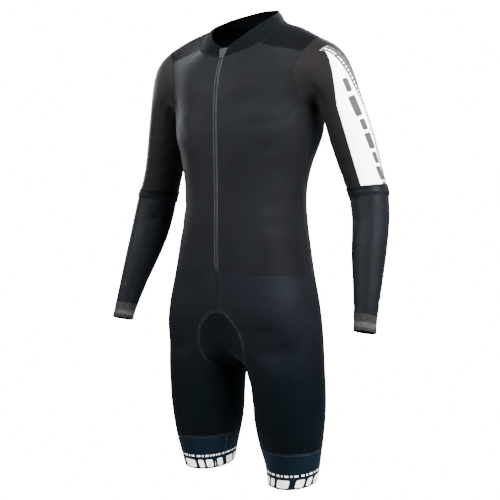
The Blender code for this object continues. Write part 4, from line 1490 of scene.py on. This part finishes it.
def soft_patch(name, tree, outline, thickness, slot, nodes):
    """Thin patch with a rounded edge that lies on the front: rows of (z, half width), top first."""
    heights = [row[0] for row in outline][::-1]
    halves = [row[1] for row in outline][::-1]
    steps = PATCH_STEPS
    rows = steps + 2
    outer, inner = [], []
    for row in range(rows):
        down = row / (rows - 1)
        z = outline[0][0] + (outline[-1][0] - outline[0][0]) * down
        half = float(np.interp(z, heights, halves))
        for step in range(steps + 1):
            over = 2 * step / steps - 1
            point, normal = front_hit(tree, half * over, z)
            edge = max(abs(over), abs(2 * down - 1)) ** PATCH_EDGE
            crown = SEAM_GAP + thickness * (1 - PATCH_DROP * edge)
            outer.append(point + normal * crown)
            inner.append(point + normal * SEAM_GAP)
    count = len(outer)
    width = steps + 1
    polygons = []
    for row in range(rows - 1):
        for step in range(steps):
            a = row * width + step
            quad = [a, a + width, a + width + 1, a + 1]
            polygons.append(quad)
            polygons.append([corner + count for corner in quad[::-1]])
    loop = list(range(width))
    loop += [row * width + steps for row in range(1, rows)]
    loop += [(rows - 1) * width + step for step in range(steps - 1, -1, -1)]
    loop += [row * width for row in range(rows - 2, 0, -1)]
    for a, b in zip(loop, loop[1:] + loop[:1]):
        polygons.append([a, b, b + count, a + count])
    flat = [(point[0], point[2]) for point in outer + inner]
    places = [[flat[corner] for corner in polygon] for polygon in polygons]
    return add_piece(name, outer + inner, polygons, FINISHES[slot].material, nodes, places)


def zip_details(form):
    tree = form_tree(form)
    middle = ((GARAGE_TOP_Z + GARAGE_FOOT_Z) / 2, (GARAGE_TOP_WIDTH + GARAGE_FOOT_WIDTH) / 4)
    outline = ((GARAGE_TOP_Z, GARAGE_TOP_WIDTH / 2), middle, (GARAGE_FOOT_Z, GARAGE_FOOT_WIDTH / 2))
    garage = soft_patch("zip_garage_cloth", tree, outline, GARAGE_CLOTH, "garage_cloth", ["zip_garage"])
    bar = Threads()
    for number in range(TACK_THREADS):
        z = TACK_Z + TACK_HEIGHT * (number / (TACK_THREADS - 1) - 0.5)
        point, normal = front_hit(tree, 0.0, z)
        bar.stitch(point + normal * TACK_LIFT, flat_way(0.0, normal), normal, TACK_WIDTH, TACK_THREAD)
    bar.piece("zip_end_bar_tack", DARK_THREAD, ["zip_end_tack"])


# Camera: fitted to the photo's perspective
CAMERA_PLACE = (1.3766, -1.966, -0.350)
CAMERA_AZIMUTH = 35.0
CAMERA_DROP = 2.57
CAMERA_FOCAL_PIXELS = 1116.0
PICTURE_WIDTH = 500.0
SENSOR_WIDTH = 36.0
CAMERA_SHIFT = 0.006


def direction(azimuth, elevation):
    """Unit vector at this azimuth from the front and this elevation, in degrees."""
    azimuth, elevation = math.radians(azimuth), math.radians(elevation)
    level = math.cos(elevation)
    return Vector((math.sin(azimuth) * level, -math.cos(azimuth) * level, math.sin(elevation)))


def add_camera():
    data = bpy.data.cameras.new("camera")
    data.sensor_width = SENSOR_WIDTH
    data.lens = CAMERA_FOCAL_PIXELS / PICTURE_WIDTH * SENSOR_WIDTH
    data.shift_x = CAMERA_SHIFT
    camera = link("camera", data)
    camera.location = CAMERA_PLACE
    look = -direction(CAMERA_AZIMUTH, CAMERA_DROP)
    camera.rotation_euler = look.to_track_quat("-Z", "Y").to_euler()
    bpy.context.scene.camera = camera


# Soft studio lights: where they stand round the suit in degrees and metres, their size, power and spread
Light = namedtuple("Light", "name azimuth elevation distance width height power spread")
LIGHTS = (
    Light("key", 68, 30, 2.0, 1.3, 1.3, 80, 64),
    Light("fill", -12, 20, 2.2, 1.5, 1.3, 26, 58),
    Light("left", -48, 15, 2.2, 1.0, 1.2, 17, 58),
    Light("side_right", 96, 8, 2.8, 1.0, 2.2, 125, 180),
    Light("rim_right", 145, 25, 2.8, 0.8, 1.8, 55, 180),
    Light("rim_left", -112, 12, 2.8, 0.8, 1.8, 95, 180),
    Light("back", 182, 30, 2.6, 1.6, 1.6, 40, 90),
)
LIGHT_TARGET = Vector((0, 0, 0.02))
FLOOR_HEIGHT = -1.58
FLOOR_RADIUS = 2.4
FLOOR_SIDES = 64
FLOOR_FADE = (0.7, 2.1)
WORLD_LIGHT = 0.09
BACKDROP_LIGHT = 17.0


def add_light(light):
    data = bpy.data.lights.new(light.name, "AREA")
    data.shape = "RECTANGLE"
    data.size = light.width
    data.size_y = light.height
    data.energy = light.power
    data.spread = math.radians(light.spread)
    lamp = link(light.name, data)
    way = direction(light.azimuth, light.elevation)
    lamp.location = LIGHT_TARGET + way * light.distance
    lamp.rotation_euler = (-way).to_track_quat("-Z", "Y").to_euler()


def add_studio():
    world = bpy.data.worlds.new("studio")
    world.use_nodes = True
    tree = world.node_tree
    seen = tree.nodes.new("ShaderNodeLightPath").outputs["Is Camera Ray"]
    strength = tree.nodes.new("ShaderNodeMapRange")
    strength.inputs["To Min"].default_value = WORLD_LIGHT
    strength.inputs["To Max"].default_value = BACKDROP_LIGHT
    tree.links.new(seen, strength.inputs["Value"])
    tree.nodes["Background"].inputs["Color"].default_value = (1, 1, 1, 1)
    tree.links.new(strength.outputs["Result"], tree.nodes["Background"].inputs["Strength"])
    bpy.context.scene.world = world
    for light in LIGHTS:
        add_light(light)
    mesh = bpy.data.meshes.new("floor")
    turns = [2 * math.pi * turn / FLOOR_SIDES for turn in range(FLOOR_SIDES)]
    rim = [(FLOOR_RADIUS * math.cos(turn), FLOOR_RADIUS * math.sin(turn), FLOOR_HEIGHT) for turn in turns]
    mesh.from_pydata(rim, [], [list(range(FLOOR_SIDES))])
    mesh.materials.append(floor_paint())
    floor = link("floor", mesh)


def floor_paint():
    """Pale paint that fades into the white surround towards the floor's rim."""
    paint = Finish("floor_paint", 0.9, specular=0.5)
    paint.colour((0.9, 0.9, 0.9))
    squares = [paint.math("POWER", way, 2.0) for way in paint.split(paint.spot)[:2]]
    reach = paint.math("POWER", paint.math("ADD", *squares), 0.5)
    paint.join(paint.less(1.0, paint.ease(reach, *FLOOR_FADE)), paint.shader.inputs["Alpha"])
    return paint.material


add_camera()
add_studio()
suit = smooth_form(LEVELS)
build_panels(suit)
sew(suit)
zip_coil(suit)
zip_details(suit)
